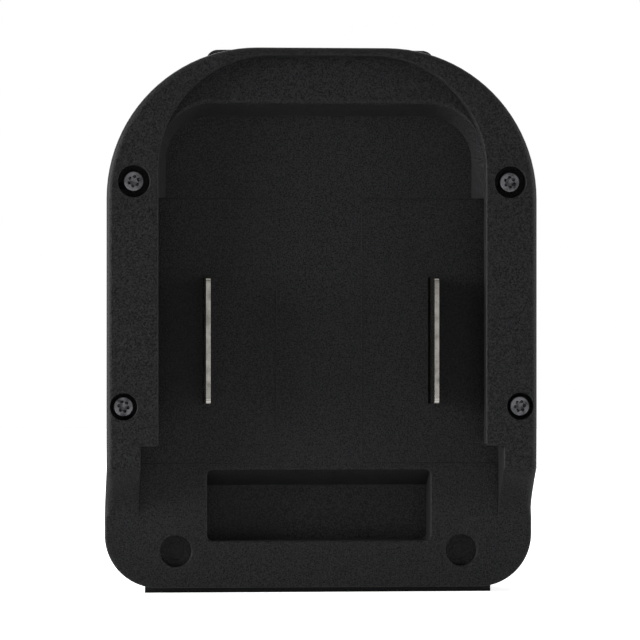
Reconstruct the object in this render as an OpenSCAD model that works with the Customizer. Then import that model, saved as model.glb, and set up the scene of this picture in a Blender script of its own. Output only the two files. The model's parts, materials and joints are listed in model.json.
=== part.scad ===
// Slide-on battery adapter for cordless tools, in millimetres.
// It stands upright on its foot: X runs across, Y from the battery side to the tool side, Z up.
// Depths are counted from the front face of the rim towards the tool side.

/* [Front face] */
// Width across the rim
body_w = 76; // [72:1:84]
// Height of the front face
front_h = 95.3; // [92:0.1:102]
// Radius of the two large top corners
top_arc_r = 26.6; // [22:0.1:30]
// Radius of the two bottom corners
bottom_corner_r = 9.4; // [6:0.1:12]
// How far the flat foot stands below the front face
foot_drop = 0.9; // [0.5:0.1:2]
// From each side of the body in to the end of the foot
foot_inset = 7.2; // [6:0.1:10]
// Depth at which the foot starts
foot_d = 9.2; // [8:0.1:12]
// Width of the square block behind the top of the rim
block_w = 40.4; // [36:0.1:46]
// How far the top of that block lies below the top of the rim
block_drop = 0.2; // [0.2:0.1:1]
// Corner radius of that block
block_r = 2; // [1:0.1:4]
// Depth at which that block starts
block_d = 5; // [4:0.1:9]

/* [Battery bay] */
// Width of the rim beside the bay
rim_side = 9.1; // [8.5:0.1:11]
// Width of the rim above the bay
rim_top = 1.5; // [1.2:0.1:3]
// Radius of the two upper corners of the bay opening
bay_arc_r = 20; // [16:0.1:24]
// Depth of the crescent shelf at the upper end of the bay
shelf_d = 2.6; // [1.5:0.1:3.2]
// From the top of the rim down to the foot of the bay's end wall
end_wall_drop = 11.7; // [10:0.1:16]
// How far the end wall leans back
end_wall_lean = 2.1; // [1:0.1:3]
// How far the side walls lean in at the upper end of the bay
side_wall_lean = 1.7; // [0.5:0.1:3]
// Corner radius at the foot of the end wall
bay_corner_r = 8; // [5:0.1:10]

/* [Rails] */
// Thickness of the two rail lips
lip_t = 3.2; // [2.8:0.1:4.5]
// Width of the rail grooves between the lips and the bay floor
rail_slot = 4.4; // [4.2:0.1:6]
// How far the grooves reach under the lips
rail_undercut = 2.9; // [2:0.1:3.4]
// From the top of the rim down to the closed ends of the grooves
groove_drop = 26.3; // [24:0.1:32]
// From the bottom edge of the front face up to the open ends of the lips
mouth_rise = 25.2; // [24:0.1:27]
// Width of the legs beside the open mouth
leg_w = 5.95; // [5.4:0.05:6.1]
// From the bottom edge of the front face up to the ends of the legs
leg_rise = 21.1; // [19:0.1:23]
// Step at the top of the ramps below the legs
leg_step = 0.4; // [0.2:0.1:1]
// Height of the ramps below the legs
ramp_h = 9; // [7:0.1:11]

/* [Latch recess] */
// Width of the recess for the battery's latch
recess_w = 39.7; // [34:0.1:41]
// Height of the recess floor
recess_h = 9.7; // [8:0.1:12]
// From the bottom edge of the front face up to the recess
recess_rise = 8.3; // [7:0.1:10]
// Height of the sloping upper wall of the recess
recess_lean = 2.9; // [1:0.1:3.2]
// Depth of the recess below the bottom plate
recess_d = 6.5; // [4.5:0.1:7.5]
// Corner radius of the recess
recess_r = 1; // [0.5:0.1:3]

/* [Battery blades] */
// Distance between the two contact blades
blade_pitch = 40.3; // [36:0.1:44]
// Thickness of a blade
blade_t = 0.8; // [0.6:0.1:1.2]
// Length of a blade in the bay
blade_l = 22.3; // [18:0.1:26]
// From the bottom edge of the front face up to the blades
blade_rise = 32.6; // [28:0.1:38]
// How far the clamped shoulder is longer than the blade at each end
shoulder_step = 2; // [1:0.1:4]
// Depth of the clamped shoulder
shoulder_h = 2.1; // [1.5:0.1:4]
// Width of the solder tail
tail_w = 5; // [3:0.1:6]
// Length of the solder tail behind the holder
tail_l = 2.8; // [2.4:0.1:3.6]
// Thickness of the blade holder
holder_t = 2; // [1.5:0.1:3]
// Overhang of the blade holder past the blades at every side
holder_rim = 4; // [3:0.1:6]
// Distance between the two screws of the blade holder
holder_screw_pitch = 24; // [18:0.5:26]

/* [Case screws] */
// From each side of the body in to the upper screws
upper_screw_inset = 4.8; // [4.6:0.1:5.2]
// From the top of the rim down to the upper screws
upper_screw_drop = 23.6; // [21:0.1:26]
// Counterbore of the upper screws
upper_seat_dia = 5.6; // [5:0.1:6.2]
// From each side of the body in to the lower screws
lower_screw_inset = 3; // [2.9:0.1:3.4]
// From the bottom edge of the front face up to the lower screws
lower_screw_rise = 32.2; // [30:0.1:36]
// Counterbore of the lower screws
lower_seat_dia = 4.8; // [4.6:0.1:5]
// Depth of the screw seats
seat_d = 2.6; // [2:0.1:3]
// Diameter of the screw heads
head_dia = 3.7; // [3.5:0.1:4.4]
// Height of the screw heads
head_h = 1.7; // [1.4:0.1:1.9]
// Thread diameter of the case screws
screw_dia = 2.6; // [2.4:0.1:3]
// Diameter of the columns that the screws run in
column_dia = 7; // [6:0.1:8]
// Length of thread in the tool-side half
thread_l = 5.5; // [4:0.1:7]

/* [Locating posts] */
// From each side of the body in to the posts
post_inset = 12.6; // [12:0.1:14]
// From the bottom edge of the front face up to the posts
post_rise = 6.5; // [5.5:0.1:8]
// Diameter of the posts
post_dia = 6; // [5:0.1:6.4]
// Diameter of the post tips
tip_dia = 3; // [2.5:0.1:4]
// Diameter of the counterbores in the bottom plate
tip_seat_dia = 5.6; // [5:0.1:6.5]
// Depth of the counterbores in the bottom plate
tip_seat_d = 1.5; // [0.8:0.1:1.8]

/* [Shell walls] */
// Taper of the outer walls towards the tool side, in mm for each mm of depth
wall_taper = 0.045; // [0:0.005:0.05]
// Taper of the sides of the top block and the foot, in mm for each mm of depth
block_taper = 0.07; // [0:0.005:0.09]
// Side wall of both halves
wall = 2.2; // [1.8:0.1:2.6]
// Wall behind the bay floor and the bottom plate
floor_t = 2.4; // [2.2:0.1:3.2]
// Wall around the latch recess
recess_wall = 2; // [1.5:0.1:2.2]
// Rear panel of the tool-side half
panel_t = 2.4; // [2:0.1:3.2]
// Room for the leads between the blade holder and the board
wiring_room = 4.5; // [4.2:0.1:7]
// How far the board lies behind the seam of the two halves
board_set = 0.6; // [0.4:0.1:1.5]
// Room for the parts on the board
parts_room = 5.4; // [5:0.1:8]

/* [Circuit board] */
// Thickness of the board
board_t = 1.6; // [1:0.1:2]
// From each side of the body in to the edge of the board
board_inset = 10; // [9.6:0.1:12]
// From the top of the rim down to the upper edge of the board
board_drop = 6.2; // [5.6:0.1:8]
// Height of the whole board
board_h = 54; // [50:1:58]
// Height of the narrow upper end of the board
tab_h = 10; // [8:0.5:14]
// From the edges of the board in to its screws
board_screw_inset = 3.2; // [3:0.1:4]
// Diameter of the columns under the board
standoff_dia = 5; // [4.4:0.1:5.6]
// Thread diameter of the small screws
small_screw_dia = 2; // [1.6:0.1:2.2]
// Head diameter of the small screws
small_head_dia = 3.8; // [3.2:0.1:4]
// Head height of the small screws
small_head_h = 1.3; // [1:0.1:1.6]
// Thread length of the small screws
small_thread_l = 3.4; // [2.6:0.1:3.6]

/* [Tool deck] */
// Width of the head that the tool's rails grip
deck_w = 54; // [50:0.5:58]
// Width of the neck under that head
neck_w = 47; // [43:0.5:48]
// Height of the neck, which is the width of the tool's rail grooves
neck_h = 4.5; // [4.3:0.1:6]
// Thickness of the head
deck_t = 5.5; // [4.5:0.1:7]
// Wall over the contact block
deck_wall = 2.6; // [2:0.1:3.2]
// Corner radius of the head at its leading end
deck_r = 11; // [7:0.1:12]
// Width of the contact block
contact_block_w = 37; // [35:0.5:40]
// Height of the contact block
contact_block_h = 20; // [18:0.5:24]
// Distance between the two power contacts
power_pitch = 28; // [25:0.1:29]
// Distance between the two signal contacts
signal_pitch = 9.4; // [8.4:0.1:11]
// Width of the slots that the tool's blades enter
blade_slot_w = 2.2; // [1.6:0.1:2.6]
// Sheet thickness of the fork contacts
fork_t = 0.6; // [0.4:0.1:0.8]
// Width of a fork contact across its arms
fork_w = 4.4; // [3.8:0.1:5]
// Length of the fork arms
fork_l = 13; // [10:0.5:15]
// Depth of a fork contact
fork_d = 5.5; // [4:0.1:6]

/* [Release latch] */
// How far the housing of the latch stands out of the rear panel
house_h = 7.5; // [6.5:0.1:9]
// From the foot up to the thumb pad
pad_rise = 9; // [8:0.1:11]
// Width of the thumb pad
pad_w = 30; // [26:0.5:34]
// Height of the thumb pad
pad_h = 11; // [9:0.1:13]
// How far the thumb pad stands out of the housing
pad_proud = 1.2; // [0.6:0.1:2]
// Height of the bar between the thumb pad and the catch
catch_gap = 2.5; // [2:0.1:4]
// Width of the catch
catch_w = 24; // [20:0.5:28]
// Height of the catch at its root
catch_h = 4.5; // [4:0.1:6]
// How far the flange reaches past the thumb pad
flange_lap = 3; // [2:0.1:4]
// Thickness of the flange
flange_t = 2.5; // [2:0.1:3]
// Travel of the latch, which draws the catch flush with the housing
latch_travel = 4; // [3.4:0.1:4.8]
// Distance between the two latch springs
spring_pitch = 20; // [16:0.5:26]
// Outer diameter of a latch spring
spring_dia = 5.5; // [5:0.1:6.5]
// Wire of a latch spring
spring_wire = 0.7; // [0.5:0.1:0.8]
// Number of turns of a latch spring
spring_turns = 6; // [5:1:7]

/* [Hidden] */

// Clearances: pieces that only touch, screws in their threads, and pieces that slide past each other
touch = 0.05;
thread_gap = 0.04;
slide_gap = 0.3;
// Cuts reach this far past the faces they open
past = 1;
arc_steps = 24;
$fn = 48;

// Colours of the materials
black_nylon = [0.12, 0.12, 0.125];
nickel = [0.8, 0.78, 0.74];
zinc_black = [0.3, 0.3, 0.31];
board_green = [0.05, 0.3, 0.15];
chip_black = [0.08, 0.08, 0.08];
ceramic_white = [0.85, 0.83, 0.78];
ceramic_tan = [0.65, 0.5, 0.3];
lead_red = [0.7, 0.08, 0.06];
lead_black = [0.06, 0.06, 0.06];

// Heights above the foot
front_z = foot_drop;
top_z = front_z + front_h;
half_w = body_w / 2;
bay_half = half_w - rim_side;
bay_top_z = top_z - rim_top;
end_wall_z = top_z - end_wall_drop;
groove_z = top_z - groove_drop;
groove_half = bay_half + rail_undercut;
mouth_z = front_z + mouth_rise;
mouth_half = half_w - leg_w;
leg_z = front_z + leg_rise;
recess_z = front_z + recess_rise;
recess_top_z = recess_z + recess_h + recess_lean;
blade_z = front_z + blade_rise;
blade_mid_z = blade_z + blade_l / 2;
upper_screw_z = top_z - upper_screw_drop;
lower_screw_z = front_z + lower_screw_rise;
post_x = half_w - post_inset;
post_z = front_z + post_rise;
block_top_z = top_z - block_drop;

// Depths, from the rim towards the tool side
floor_d = lip_t + rail_slot;
floor_back = floor_d + floor_t;
recess_floor_d = floor_d + recess_d;
recess_back = recess_floor_d + recess_wall;
holder_d = floor_back + shoulder_h;
holder_back = holder_d + holder_t;
board_d = holder_back + wiring_room;
seam_d = board_d - board_set;
board_back = board_d + board_t;
panel_in = board_back + parts_room;
panel_out = panel_in + panel_t;
neck_out = panel_out + neck_h;
deck_out = neck_out + deck_t;
neck_r = deck_r - (deck_w - neck_w) / 2;
house_out = panel_out + house_h;
house_in = house_out - wall;
release_gap = 0.4;
catch_out = house_out + latch_travel - release_gap;
total_d = max(deck_out, catch_out);
seat_list = [
  [half_w - upper_screw_inset, upper_screw_z, upper_seat_dia],
  [half_w - lower_screw_inset, lower_screw_z, lower_seat_dia]
];

// Latch
pad_top_z = pad_rise + pad_h;
pad_out = house_out + pad_proud;
catch_z = pad_top_z + catch_gap;
catch_top_z = catch_z + catch_h;
flange_z = pad_rise - flange_lap;
flange_half = max(pad_w, catch_w) / 2 + flange_lap;
flange_out = house_in - slide_gap;
flange_in = flange_out - flange_t;
house_top_z = catch_top_z + 2 * slide_gap + wall;
foot_half = half_w - foot_inset;
house_half = foot_half - block_taper * (house_out - foot_d);
// Steps of the outline beside a ramp
side_steps = 6;
spring_z = recess_z + recess_h / 2;
spigot_dia = spring_dia - 2 * spring_wire - 2 * slide_gap;
spigot_h = 2;
rib_count = 3;
rib_t = 1.2;
rib_h = 0.5;

// Board and contacts
board_half = half_w - board_inset;
board_top_z = top_z - board_drop;
board_z = board_top_z - board_h;
board_wide_z = board_top_z - tab_h;
board_screw_x = board_half - board_screw_inset;
board_screw_zs = [board_z + board_screw_inset, board_wide_z - board_screw_inset];
contact_z = board_top_z - contact_block_h;
contact_out = deck_out - deck_wall - touch;
fork_inset = 1;
fork_out = contact_out - fork_inset;
fork_base_z = board_top_z - fork_l - fork_inset;
power_x = power_pitch / 2;
signal_x = signal_pitch / 2;
fork_tail_w = 2;
fork_throat = blade_slot_w / 2;
fork_pinch = 0.5;
fork_flare = 2;
solder_l = 0.6;

// Parts on the board: place across and above its lower edge, then width, height and thickness
transistor_at = [9, 22];
transistor_body = [6.6, 6.2, 2.3];
transistor_tab = [5.4, 8.4, 0.5];
chip_at = [0, 10];
chip_body = [5, 4, 1.6];
chip_leg = [0.45, 6, 0.5];
chip_leg_pitch = 1.27;
fuse_at = [0, 28];
fuse_body = [10, 3.2, 2.6];
shunt_at = [0, 16];
shunt_body = [6.4, 3.2, 0.7];
capacitor_x = 9;
capacitor_zs = [6, 10.5];
capacitor_body = [3.2, 2.5, 2];
resistor_x = 15;
resistor_zs = [5, 8, 11, 14];
resistor_body = [2, 1.25, 0.5];

// Blade holder
holder_half = blade_pitch / 2 + holder_rim;
holder_screw_x = holder_screw_pitch / 2;
holder_r = 2;
tail_shift = 3;
tail_z = blade_mid_z + tail_shift;
tail_end = holder_back + tail_l;
boss_wall = 1.5;
holder_boss_dia = small_screw_dia + 2 * boss_wall;
bay_skin = 1;
holder_pilot_d = floor_d + bay_skin;

// Leads: a route for the positive side, mirrored for the negative side. Each point lies so far in from the
// blade's tail, so far above it, and so large a share of the way back from the holder to the board
lead_dia = 2.6;
lead_sides = 8;
lead_ins = [0, 1.5, 3.4, 4.8, 5.4, 5.4, 5.4, 5.4];
lead_climbs = [0, 0, 0.8, 2.6, 5.5, 8.5, 11, 14];
lead_shares = [0, 0, 1 / 18, 1 / 6, 1 / 2, 8 / 9, 1, 1];
lead_start_x = blade_pitch / 2 - blade_t / 2 - touch;
lead_d = holder_back + touch + lead_dia / 2;
lead_end_d = board_d - touch - lead_dia / 2;
lead_z = tail_z + tail_w / 2;
lead_route = [for (i = [0:len(lead_ins) - 1]) [
  lead_start_x - lead_ins[i],
  lead_d + lead_shares[i] * (lead_end_d - lead_d),
  lead_z + lead_climbs[i]
]];

// Depth to Y, with the model centred over the origin
function y_at(d) = d - total_d / 2;

// Points on a round corner, or the bare corner when its radius is nothing
function corner(x, z, r, a0) = r > 0
  ? [for (i = [0:arc_steps]) let (a = a0 + 90 * i / arc_steps) [x + r * cos(a), z + r * sin(a)]]
  : [[x, z]];

// Outline of an upright box with one radius for its lower corners and one for its upper corners
function round_box(half, z0, z1, r0, r1) = concat(
  corner(half - r0, z0 + r0, r0, 270),
  corner(half - r1, z1 - r1, r1, 0),
  corner(r1 - half, z1 - r1, r1, 90),
  corner(r0 - half, z0 + r0, r0, 180)
);

// Outline of the bay inside the rim
function bay_outline() = round_box(bay_half, leg_z, bay_top_z, 0, bay_arc_r);

// Depth of the ramp below a leg: steep under the step and flat where it meets the plate
ramp_ease = 1.15;
function ramp_depth(u) = leg_step + (floor_d - leg_step) * sin(90 * pow(u, ramp_ease));

// Depth of the outer front edge at a height, on the rim, the ramps or the plate
function front_depth(z) = z >= leg_z ? 0
  : z <= leg_z - ramp_h ? floor_d
  : ramp_depth((leg_z - z) / ramp_h);

// How far the taper draws the outer wall in behind that edge
function draw_in(z, d) = wall_taper * max(0, d - front_depth(z));

// Outline of the body at a depth, drawn in by a wall or by nothing
function body_outline(d, inset) = let (
  low_r = bottom_corner_r - inset - draw_in(front_z, d),
  high_r = top_arc_r - inset - draw_in(top_z, d),
  low_x = half_w - bottom_corner_r,
  high_x = half_w - top_arc_r,
  side = [for (i = [0:side_steps])
    let (z = leg_z - ramp_h * (1 - i / side_steps)) [half_w - inset - draw_in(z, d), z]]
) concat(
  corner(low_x, front_z + bottom_corner_r, low_r, 270),
  side,
  corner(high_x, top_z - top_arc_r, high_r, 0),
  corner(-high_x, top_z - top_arc_r, high_r, 90),
  [for (i = [side_steps:-1:0]) [-side[i][0], side[i][1]]],
  corner(-low_x, front_z + bottom_corner_r, low_r, 180)
);

// An outline in X and Z, pushed from one depth to another
module slab(d0, d1) {
  translate([0, y_at(d1), 0])
    rotate([90, 0, 0])
      linear_extrude(d1 - d0)
        children();
}

// A profile in depth and height, pushed along X
module bar(x0, x1) {
  translate([x0, -total_d / 2, 0])
    rotate([90, 0, 90])
      linear_extrude(x1 - x0)
        children();
}

// A box between two places in X, depth and height
module block(x0, x1, d0, d1, z0, z1) {
  translate([x0, y_at(d0), z0])
    cube([x1 - x0, d1 - d0, z1 - z0]);
}

// A round bar along the depth
module rod(x, z, dia, d0, d1) {
  translate([x, y_at(d0), z])
    rotate([-90, 0, 0])
      cylinder(d = dia, h = d1 - d0);
}

// A piece on the right and its mirror image on the left
module both_sides() {
  children();
  mirror([1, 0, 0])
    children();
}

// A solid through outlines with as many points each, at a row of depths
module lofted(depths, outlines) {
  count = len(outlines[0]);
  last = len(depths) - 1;
  points = [for (k = [0:last]) for (p = outlines[k]) [p[0], y_at(depths[k]), p[1]]];
  skin = [for (k = [0:last - 1]) for (i = [0:count - 1])
    let (a = k * count + i, b = k * count + (i + 1) % count)
    each [[a, b, b + count], [a, b + count, a + count]]];
  front = [for (i = [count - 1:-1:0]) i];
  back = [for (i = [0:count - 1]) last * count + i];
  polyhedron(points, concat([front, back], skin));
}

// The outer body through a row of depths, without any hollow
module tapered_body(depths) {
  lofted(depths, [for (d = depths) body_outline(d, 0)]);
}

// Round tube swept along a route of points in X, depth and height
function unit(v) = v / norm(v);
function along(route, i) = unit(route[min(i + 1, len(route) - 1)] - route[max(i - 1, 0)]);
function ring(centre, dir, dia, sides, up) =
  let (side = unit(cross(up, dir)), top = cross(dir, side))
  [for (k = [0:sides - 1])
    centre + dia / 2 * (side * cos(360 * k / sides) + top * sin(360 * k / sides))];

module tube(route, dia, sides, up) {
  count = len(route);
  rings = [for (i = [0:count - 1]) ring(route[i], along(route, i), dia, sides, up)];
  points = [for (r = rings) for (p = r) p];
  skin = [for (i = [0:count - 2]) for (k = [0:sides - 1])
    let (a = i * sides + k, b = i * sides + (k + 1) % sides)
    each [[a, a + sides, b], [b, a + sides, b + sides]]];
  first = [for (k = [0:sides - 1]) k];
  last = [for (k = [sides - 1:-1:0]) (count - 1) * sides + k];
  polyhedron(points, concat([first, last], skin));
}

// Pan-head screw along the depth, with its head towards the front and a six-lobe socket
module lobe_screw(x, z, seat, length) {
  socket_dia = 1.6;
  socket_d = 1;
  lobe_dia = 0.55;
  lobe_r = 0.8;
  difference() {
    union() {
      rod(x, z, head_dia, seat - head_h, seat);
      rod(x, z, screw_dia, seat - touch, seat + length);
    }
    slab(seat - head_h - past, seat - head_h + socket_d)
      translate([x, z]) {
        circle(d = socket_dia);
        for (a = [0:60:300])
          rotate(a)
            translate([lobe_r, 0])
              circle(d = lobe_dia);
      }
  }
}

// Small pan-head screw along the depth with a cross socket
module small_screw(x, z, seat, length, dir) {
  cross_l = 2;
  cross_w = 0.5;
  cross_d = 0.7;
  head_top = seat - dir * small_head_h;
  tip = seat + dir * length;
  difference() {
    union() {
      rod(x, z, small_head_dia, min(seat, head_top), max(seat, head_top));
      rod(x, z, small_screw_dia, min(seat, tip), max(seat, tip));
    }
    for (side = [[cross_l, cross_w], [cross_w, cross_l]])
      slab(head_top - cross_d, head_top + cross_d)
        translate([x, z])
          square(side, center = true);
  }
}

// Openings of the bay, the rails and the mouth in the front half. The pocket narrows from the shelf down to
// the floor, and stays inside the rim where its corners are fuller than the rim's arc
module bay_cuts() {
  overlap = touch / (floor_d - shelf_d);
  lean_top = end_wall_lean * (1 + overlap);
  slab(-past, shelf_d)
    polygon(bay_outline());
  intersection() {
    slab(-past, floor_d + past)
      polygon(bay_outline());
    lofted([shelf_d - touch, floor_d], [
      round_box(
        bay_half + side_wall_lean * overlap, leg_z, end_wall_z + lean_top, 0, bay_corner_r + lean_top
      ),
      round_box(bay_half - side_wall_lean, leg_z, end_wall_z, 0, bay_corner_r)
    ]);
  }
  block(-bay_half, bay_half, -past, floor_d, leg_z, groove_z);
  block(-groove_half, groove_half, lip_t, floor_d, leg_z, groove_z);
  block(-mouth_half, mouth_half, -past, floor_d, -past, mouth_z);
  bar(-body_w, body_w)
    polygon(concat(
      [[-past, leg_z]],
      [for (i = [0:arc_steps]) [ramp_depth(i / arc_steps), leg_z - ramp_h * i / arc_steps]],
      [[floor_d, -past], [-past, -past]]
    ));
}

// Recess for the battery's latch, with its sloping upper wall
module recess_cut() {
  intersection() {
    slab(floor_d - past, recess_floor_d)
      polygon(round_box(recess_w / 2, recess_z, recess_top_z, recess_r, recess_r));
    bar(-recess_w, recess_w)
      polygon([
        [floor_d - past, recess_z],
        [recess_floor_d, recess_z],
        [recess_floor_d, recess_z + recess_h],
        [floor_d, recess_top_z],
        [floor_d - past, recess_top_z]
      ]);
  }
}

// Walls, columns and bosses that stand in the hollow of the front half
module front_ribs() {
  block(
    -recess_w / 2 - recess_wall, recess_w / 2 + recess_wall, floor_back - past, recess_back,
    recess_z - recess_wall, recess_top_z
  );
  both_sides() {
    for (s = seat_list)
      rod(s[0], s[1], column_dia, floor_back - past, seam_d + past);
    rod(spring_pitch / 2, spring_z, spigot_dia, recess_back - past, recess_back + spigot_h);
    rod(holder_screw_x, blade_mid_z, holder_boss_dia, floor_back - past, holder_d - touch);
  }
}

module foot_plate(d0, d1) {
  lofted([d0, d1], [for (d = [d0, d1])
    round_box(foot_half - block_taper * (d - foot_d), 0, bottom_corner_r, 0, 0)]);
}

module top_block(d0, d1) {
  lofted([d0, d1], [for (d = [d0, d1])
    round_box(block_w / 2 - block_taper * (d - block_d), groove_z, block_top_z, 0, block_r)]);
}

module battery_side_shell() {
  color(black_nylon)
    difference() {
      union() {
        tapered_body([0, floor_d / 2, floor_d, seam_d]);
        top_block(block_d, seam_d);
        foot_plate(foot_d, seam_d);
      }
      difference() {
        slab(floor_back, seam_d + past)
          polygon(body_outline(seam_d, wall));
        front_ribs();
      }
      bay_cuts();
      recess_cut();
      both_sides() {
        for (s = seat_list) {
          rod(s[0], s[1], s[2], -past, seat_d);
          rod(s[0], s[1], screw_dia + 2 * slide_gap, seat_d - past, seam_d + past);
        }
        rod(post_x, post_z, tip_seat_dia, floor_d - past, floor_d + tip_seat_d);
        rod(post_x, post_z, tip_dia + 2 * touch, floor_d, floor_back + past);
        rod(holder_screw_x, blade_mid_z, small_screw_dia + 2 * thread_gap, holder_pilot_d, holder_d + past);
        block(
          blade_pitch / 2 - blade_t / 2 - slide_gap, blade_pitch / 2 + blade_t / 2 + touch,
          floor_d - past, floor_back + past, blade_z - touch, blade_z + blade_l + touch
        );
      }
    }
}

// Columns and posts that stand in the hollow of the rear half
module rear_ribs() {
  both_sides() {
    for (s = seat_list)
      rod(s[0], s[1], column_dia, seam_d - past, panel_in + past);
    for (z = board_screw_zs)
      rod(board_screw_x, z, standoff_dia, board_back + touch, panel_in + past);
    rod(post_x, post_z, post_dia, floor_back + touch, house_in + past);
  }
}

// Hollow of the rear half: the main room, the contact room in the deck and the latch room
module rear_hollow() {
  slab(seam_d - past, panel_in)
    polygon(body_outline(panel_in, wall));
  block(
    -contact_block_w / 2 - touch, contact_block_w / 2 + touch, panel_in - past, deck_out - deck_wall,
    contact_z - touch, board_top_z + touch
  );
  block(
    -house_half + wall, house_half - wall, panel_in - past, house_in, front_z + wall, house_top_z - wall
  );
}

// Windows for the thumb pad and the catch, and the slots for the tool's blades
module rear_windows() {
  pad_half = pad_w / 2 + slide_gap;
  catch_half = catch_w / 2 + slide_gap;
  block(
    -pad_half, pad_half, house_in - past, house_out + past, pad_rise - slide_gap, pad_top_z + slide_gap
  );
  block(
    -catch_half, catch_half, house_in - past, house_out + past, catch_z - slide_gap, catch_top_z + slide_gap
  );
  both_sides()
    for (x = [power_x, signal_x])
      block(
        x - blade_slot_w / 2, x + blade_slot_w / 2, fork_out - fork_d, deck_out + past,
        fork_base_z + past, top_z + past
      );
}

module tool_side_shell() {
  color(black_nylon) {
    difference() {
      union() {
        tapered_body([seam_d + touch, panel_out]);
        top_block(seam_d + touch, panel_out);
        foot_plate(seam_d + touch, panel_out);
        slab(panel_out - past, neck_out)
          polygon(round_box(neck_w / 2, house_top_z - past, block_top_z, 0, neck_r));
        slab(neck_out, deck_out)
          polygon(round_box(deck_w / 2, house_top_z - past, block_top_z, 0, deck_r));
        slab(panel_out - past, house_out)
          polygon(round_box(house_half, 0, house_top_z, 0, wall));
      }
      difference() {
        rear_hollow();
        rear_ribs();
      }
      rear_windows();
      both_sides() {
        for (s = seat_list)
          rod(s[0], s[1], screw_dia + 2 * thread_gap, seam_d - past, seam_d + thread_l + slide_gap);
        for (z = board_screw_zs)
          rod(board_screw_x, z, small_screw_dia + 2 * thread_gap, board_back - past, panel_in);
      }
    }
    both_sides() {
      intersection() {
        rod(post_x, post_z, post_dia, floor_back + touch, seam_d + past);
        slab(0, total_d)
          polygon(body_outline(seam_d, wall + touch));
      }
      rod(post_x, post_z, tip_dia, floor_d + tip_seat_d, floor_back + past);
    }
  }
}

module case_screws() {
  color(zinc_black)
    both_sides()
      for (s = seat_list)
        lobe_screw(s[0], s[1], seat_d - touch, seam_d - seat_d + thread_l);
}

// Blade on the right: contact edge in the bay, clamped shoulder and solder tail
module battery_blade() {
  x0 = blade_pitch / 2 - blade_t / 2;
  x1 = blade_pitch / 2 + blade_t / 2;
  block(x0, x1, 0, floor_back + past, blade_z, blade_z + blade_l);
  block(
    x0, x1, floor_back + touch, holder_d - touch, blade_z - shoulder_step, blade_z + blade_l + shoulder_step
  );
  block(x0, x1, holder_d - past, tail_end, tail_z, tail_z + tail_w);
}

module battery_blade_positive() {
  color(nickel)
    battery_blade();
}

module battery_blade_negative() {
  color(nickel)
    mirror([1, 0, 0])
      battery_blade();
}

module blade_holder() {
  color(black_nylon)
    difference() {
      slab(holder_d, holder_back)
        polygon(round_box(
          holder_half, blade_z - shoulder_step, blade_z + blade_l + shoulder_step, holder_r, holder_r
        ));
      both_sides() {
        block(
          blade_pitch / 2 - blade_t / 2 - touch, blade_pitch / 2 + blade_t / 2 + touch,
          holder_d - past, holder_back + past, tail_z - touch, tail_z + tail_w + touch
        );
        rod(
          holder_screw_x, blade_mid_z, small_screw_dia + 2 * slide_gap, holder_d - past, holder_back + past
        );
      }
    }
}

module blade_holder_screws() {
  color(zinc_black)
    both_sides()
      small_screw(holder_screw_x, blade_mid_z, holder_back + touch, small_thread_l + holder_t, -1);
}

module lead_positive() {
  color(lead_red)
    lead();
}

module lead_negative() {
  color(lead_black)
    mirror([1, 0, 0])
      lead();
}

module lead() {
  tube([for (p = lead_route) [p[0], y_at(p[1]), p[2]]], lead_dia, lead_sides, [0, 1, 0]);
}

module circuit_board() {
  color(board_green)
    difference() {
      union() {
        block(-board_half, board_half, board_d, board_back, board_z, board_wide_z);
        block(
          -contact_block_w / 2, contact_block_w / 2, board_d, board_back, board_wide_z - past, board_top_z
        );
      }
      both_sides() {
        for (z = board_screw_zs)
          rod(board_screw_x, z, small_screw_dia + 2 * slide_gap, board_d - past, board_back + past);
        for (x = [power_x, signal_x])
          block(
            x - fork_t / 2 - touch, x + fork_t / 2 + touch, board_d - past, board_back + past,
            fork_base_z - touch, fork_base_z + fork_tail_w + touch
          );
      }
    }
}

module board_screws() {
  color(zinc_black)
    both_sides()
      for (z = board_screw_zs)
        small_screw(board_screw_x, z, board_d - touch, small_thread_l + board_t, 1);
}

// A package soldered on the back of the board
module chip_part(at, size) {
  z = board_z + at[1];
  block(
    at[0] - size[0] / 2, at[0] + size[0] / 2, board_back, board_back + size[2],
    z - size[1] / 2, z + size[1] / 2
  );
}

module power_transistors() {
  color(chip_black)
    both_sides() {
      chip_part(transistor_at, transistor_body);
      chip_part(transistor_at, transistor_tab);
    }
}

module control_chip() {
  color(chip_black) {
    chip_part(chip_at, chip_body);
    for (i = [-1.5:1:1.5])
      chip_part(chip_at + [i * chip_leg_pitch, 0], chip_leg);
  }
}

module fuse() {
  color(ceramic_white)
    chip_part(fuse_at, fuse_body);
}

module shunt_resistor() {
  color(chip_black)
    chip_part(shunt_at, shunt_body);
}

module capacitors() {
  color(ceramic_tan)
    both_sides()
      for (z = capacitor_zs)
        chip_part([capacitor_x, z], capacitor_body);
}

module resistors() {
  color(chip_black)
    both_sides()
      for (z = resistor_zs)
        chip_part([resistor_x, z], resistor_body);
}

module contact_block() {
  room = fork_w / 2 + touch;
  color(black_nylon)
    difference() {
      block(
        -contact_block_w / 2, contact_block_w / 2, board_back + touch, contact_out, contact_z, board_top_z
      );
      both_sides()
        for (x = [power_x, signal_x]) {
          block(
            x - room, x + room, fork_out - fork_d - touch, contact_out + past,
            fork_base_z - touch, board_top_z + past
          );
          block(
            x - fork_t / 2 - touch, x + fork_t / 2 + touch, board_back - past, fork_out,
            fork_base_z - touch, fork_base_z + fork_tail_w + touch
          );
        }
    }
}

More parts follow.
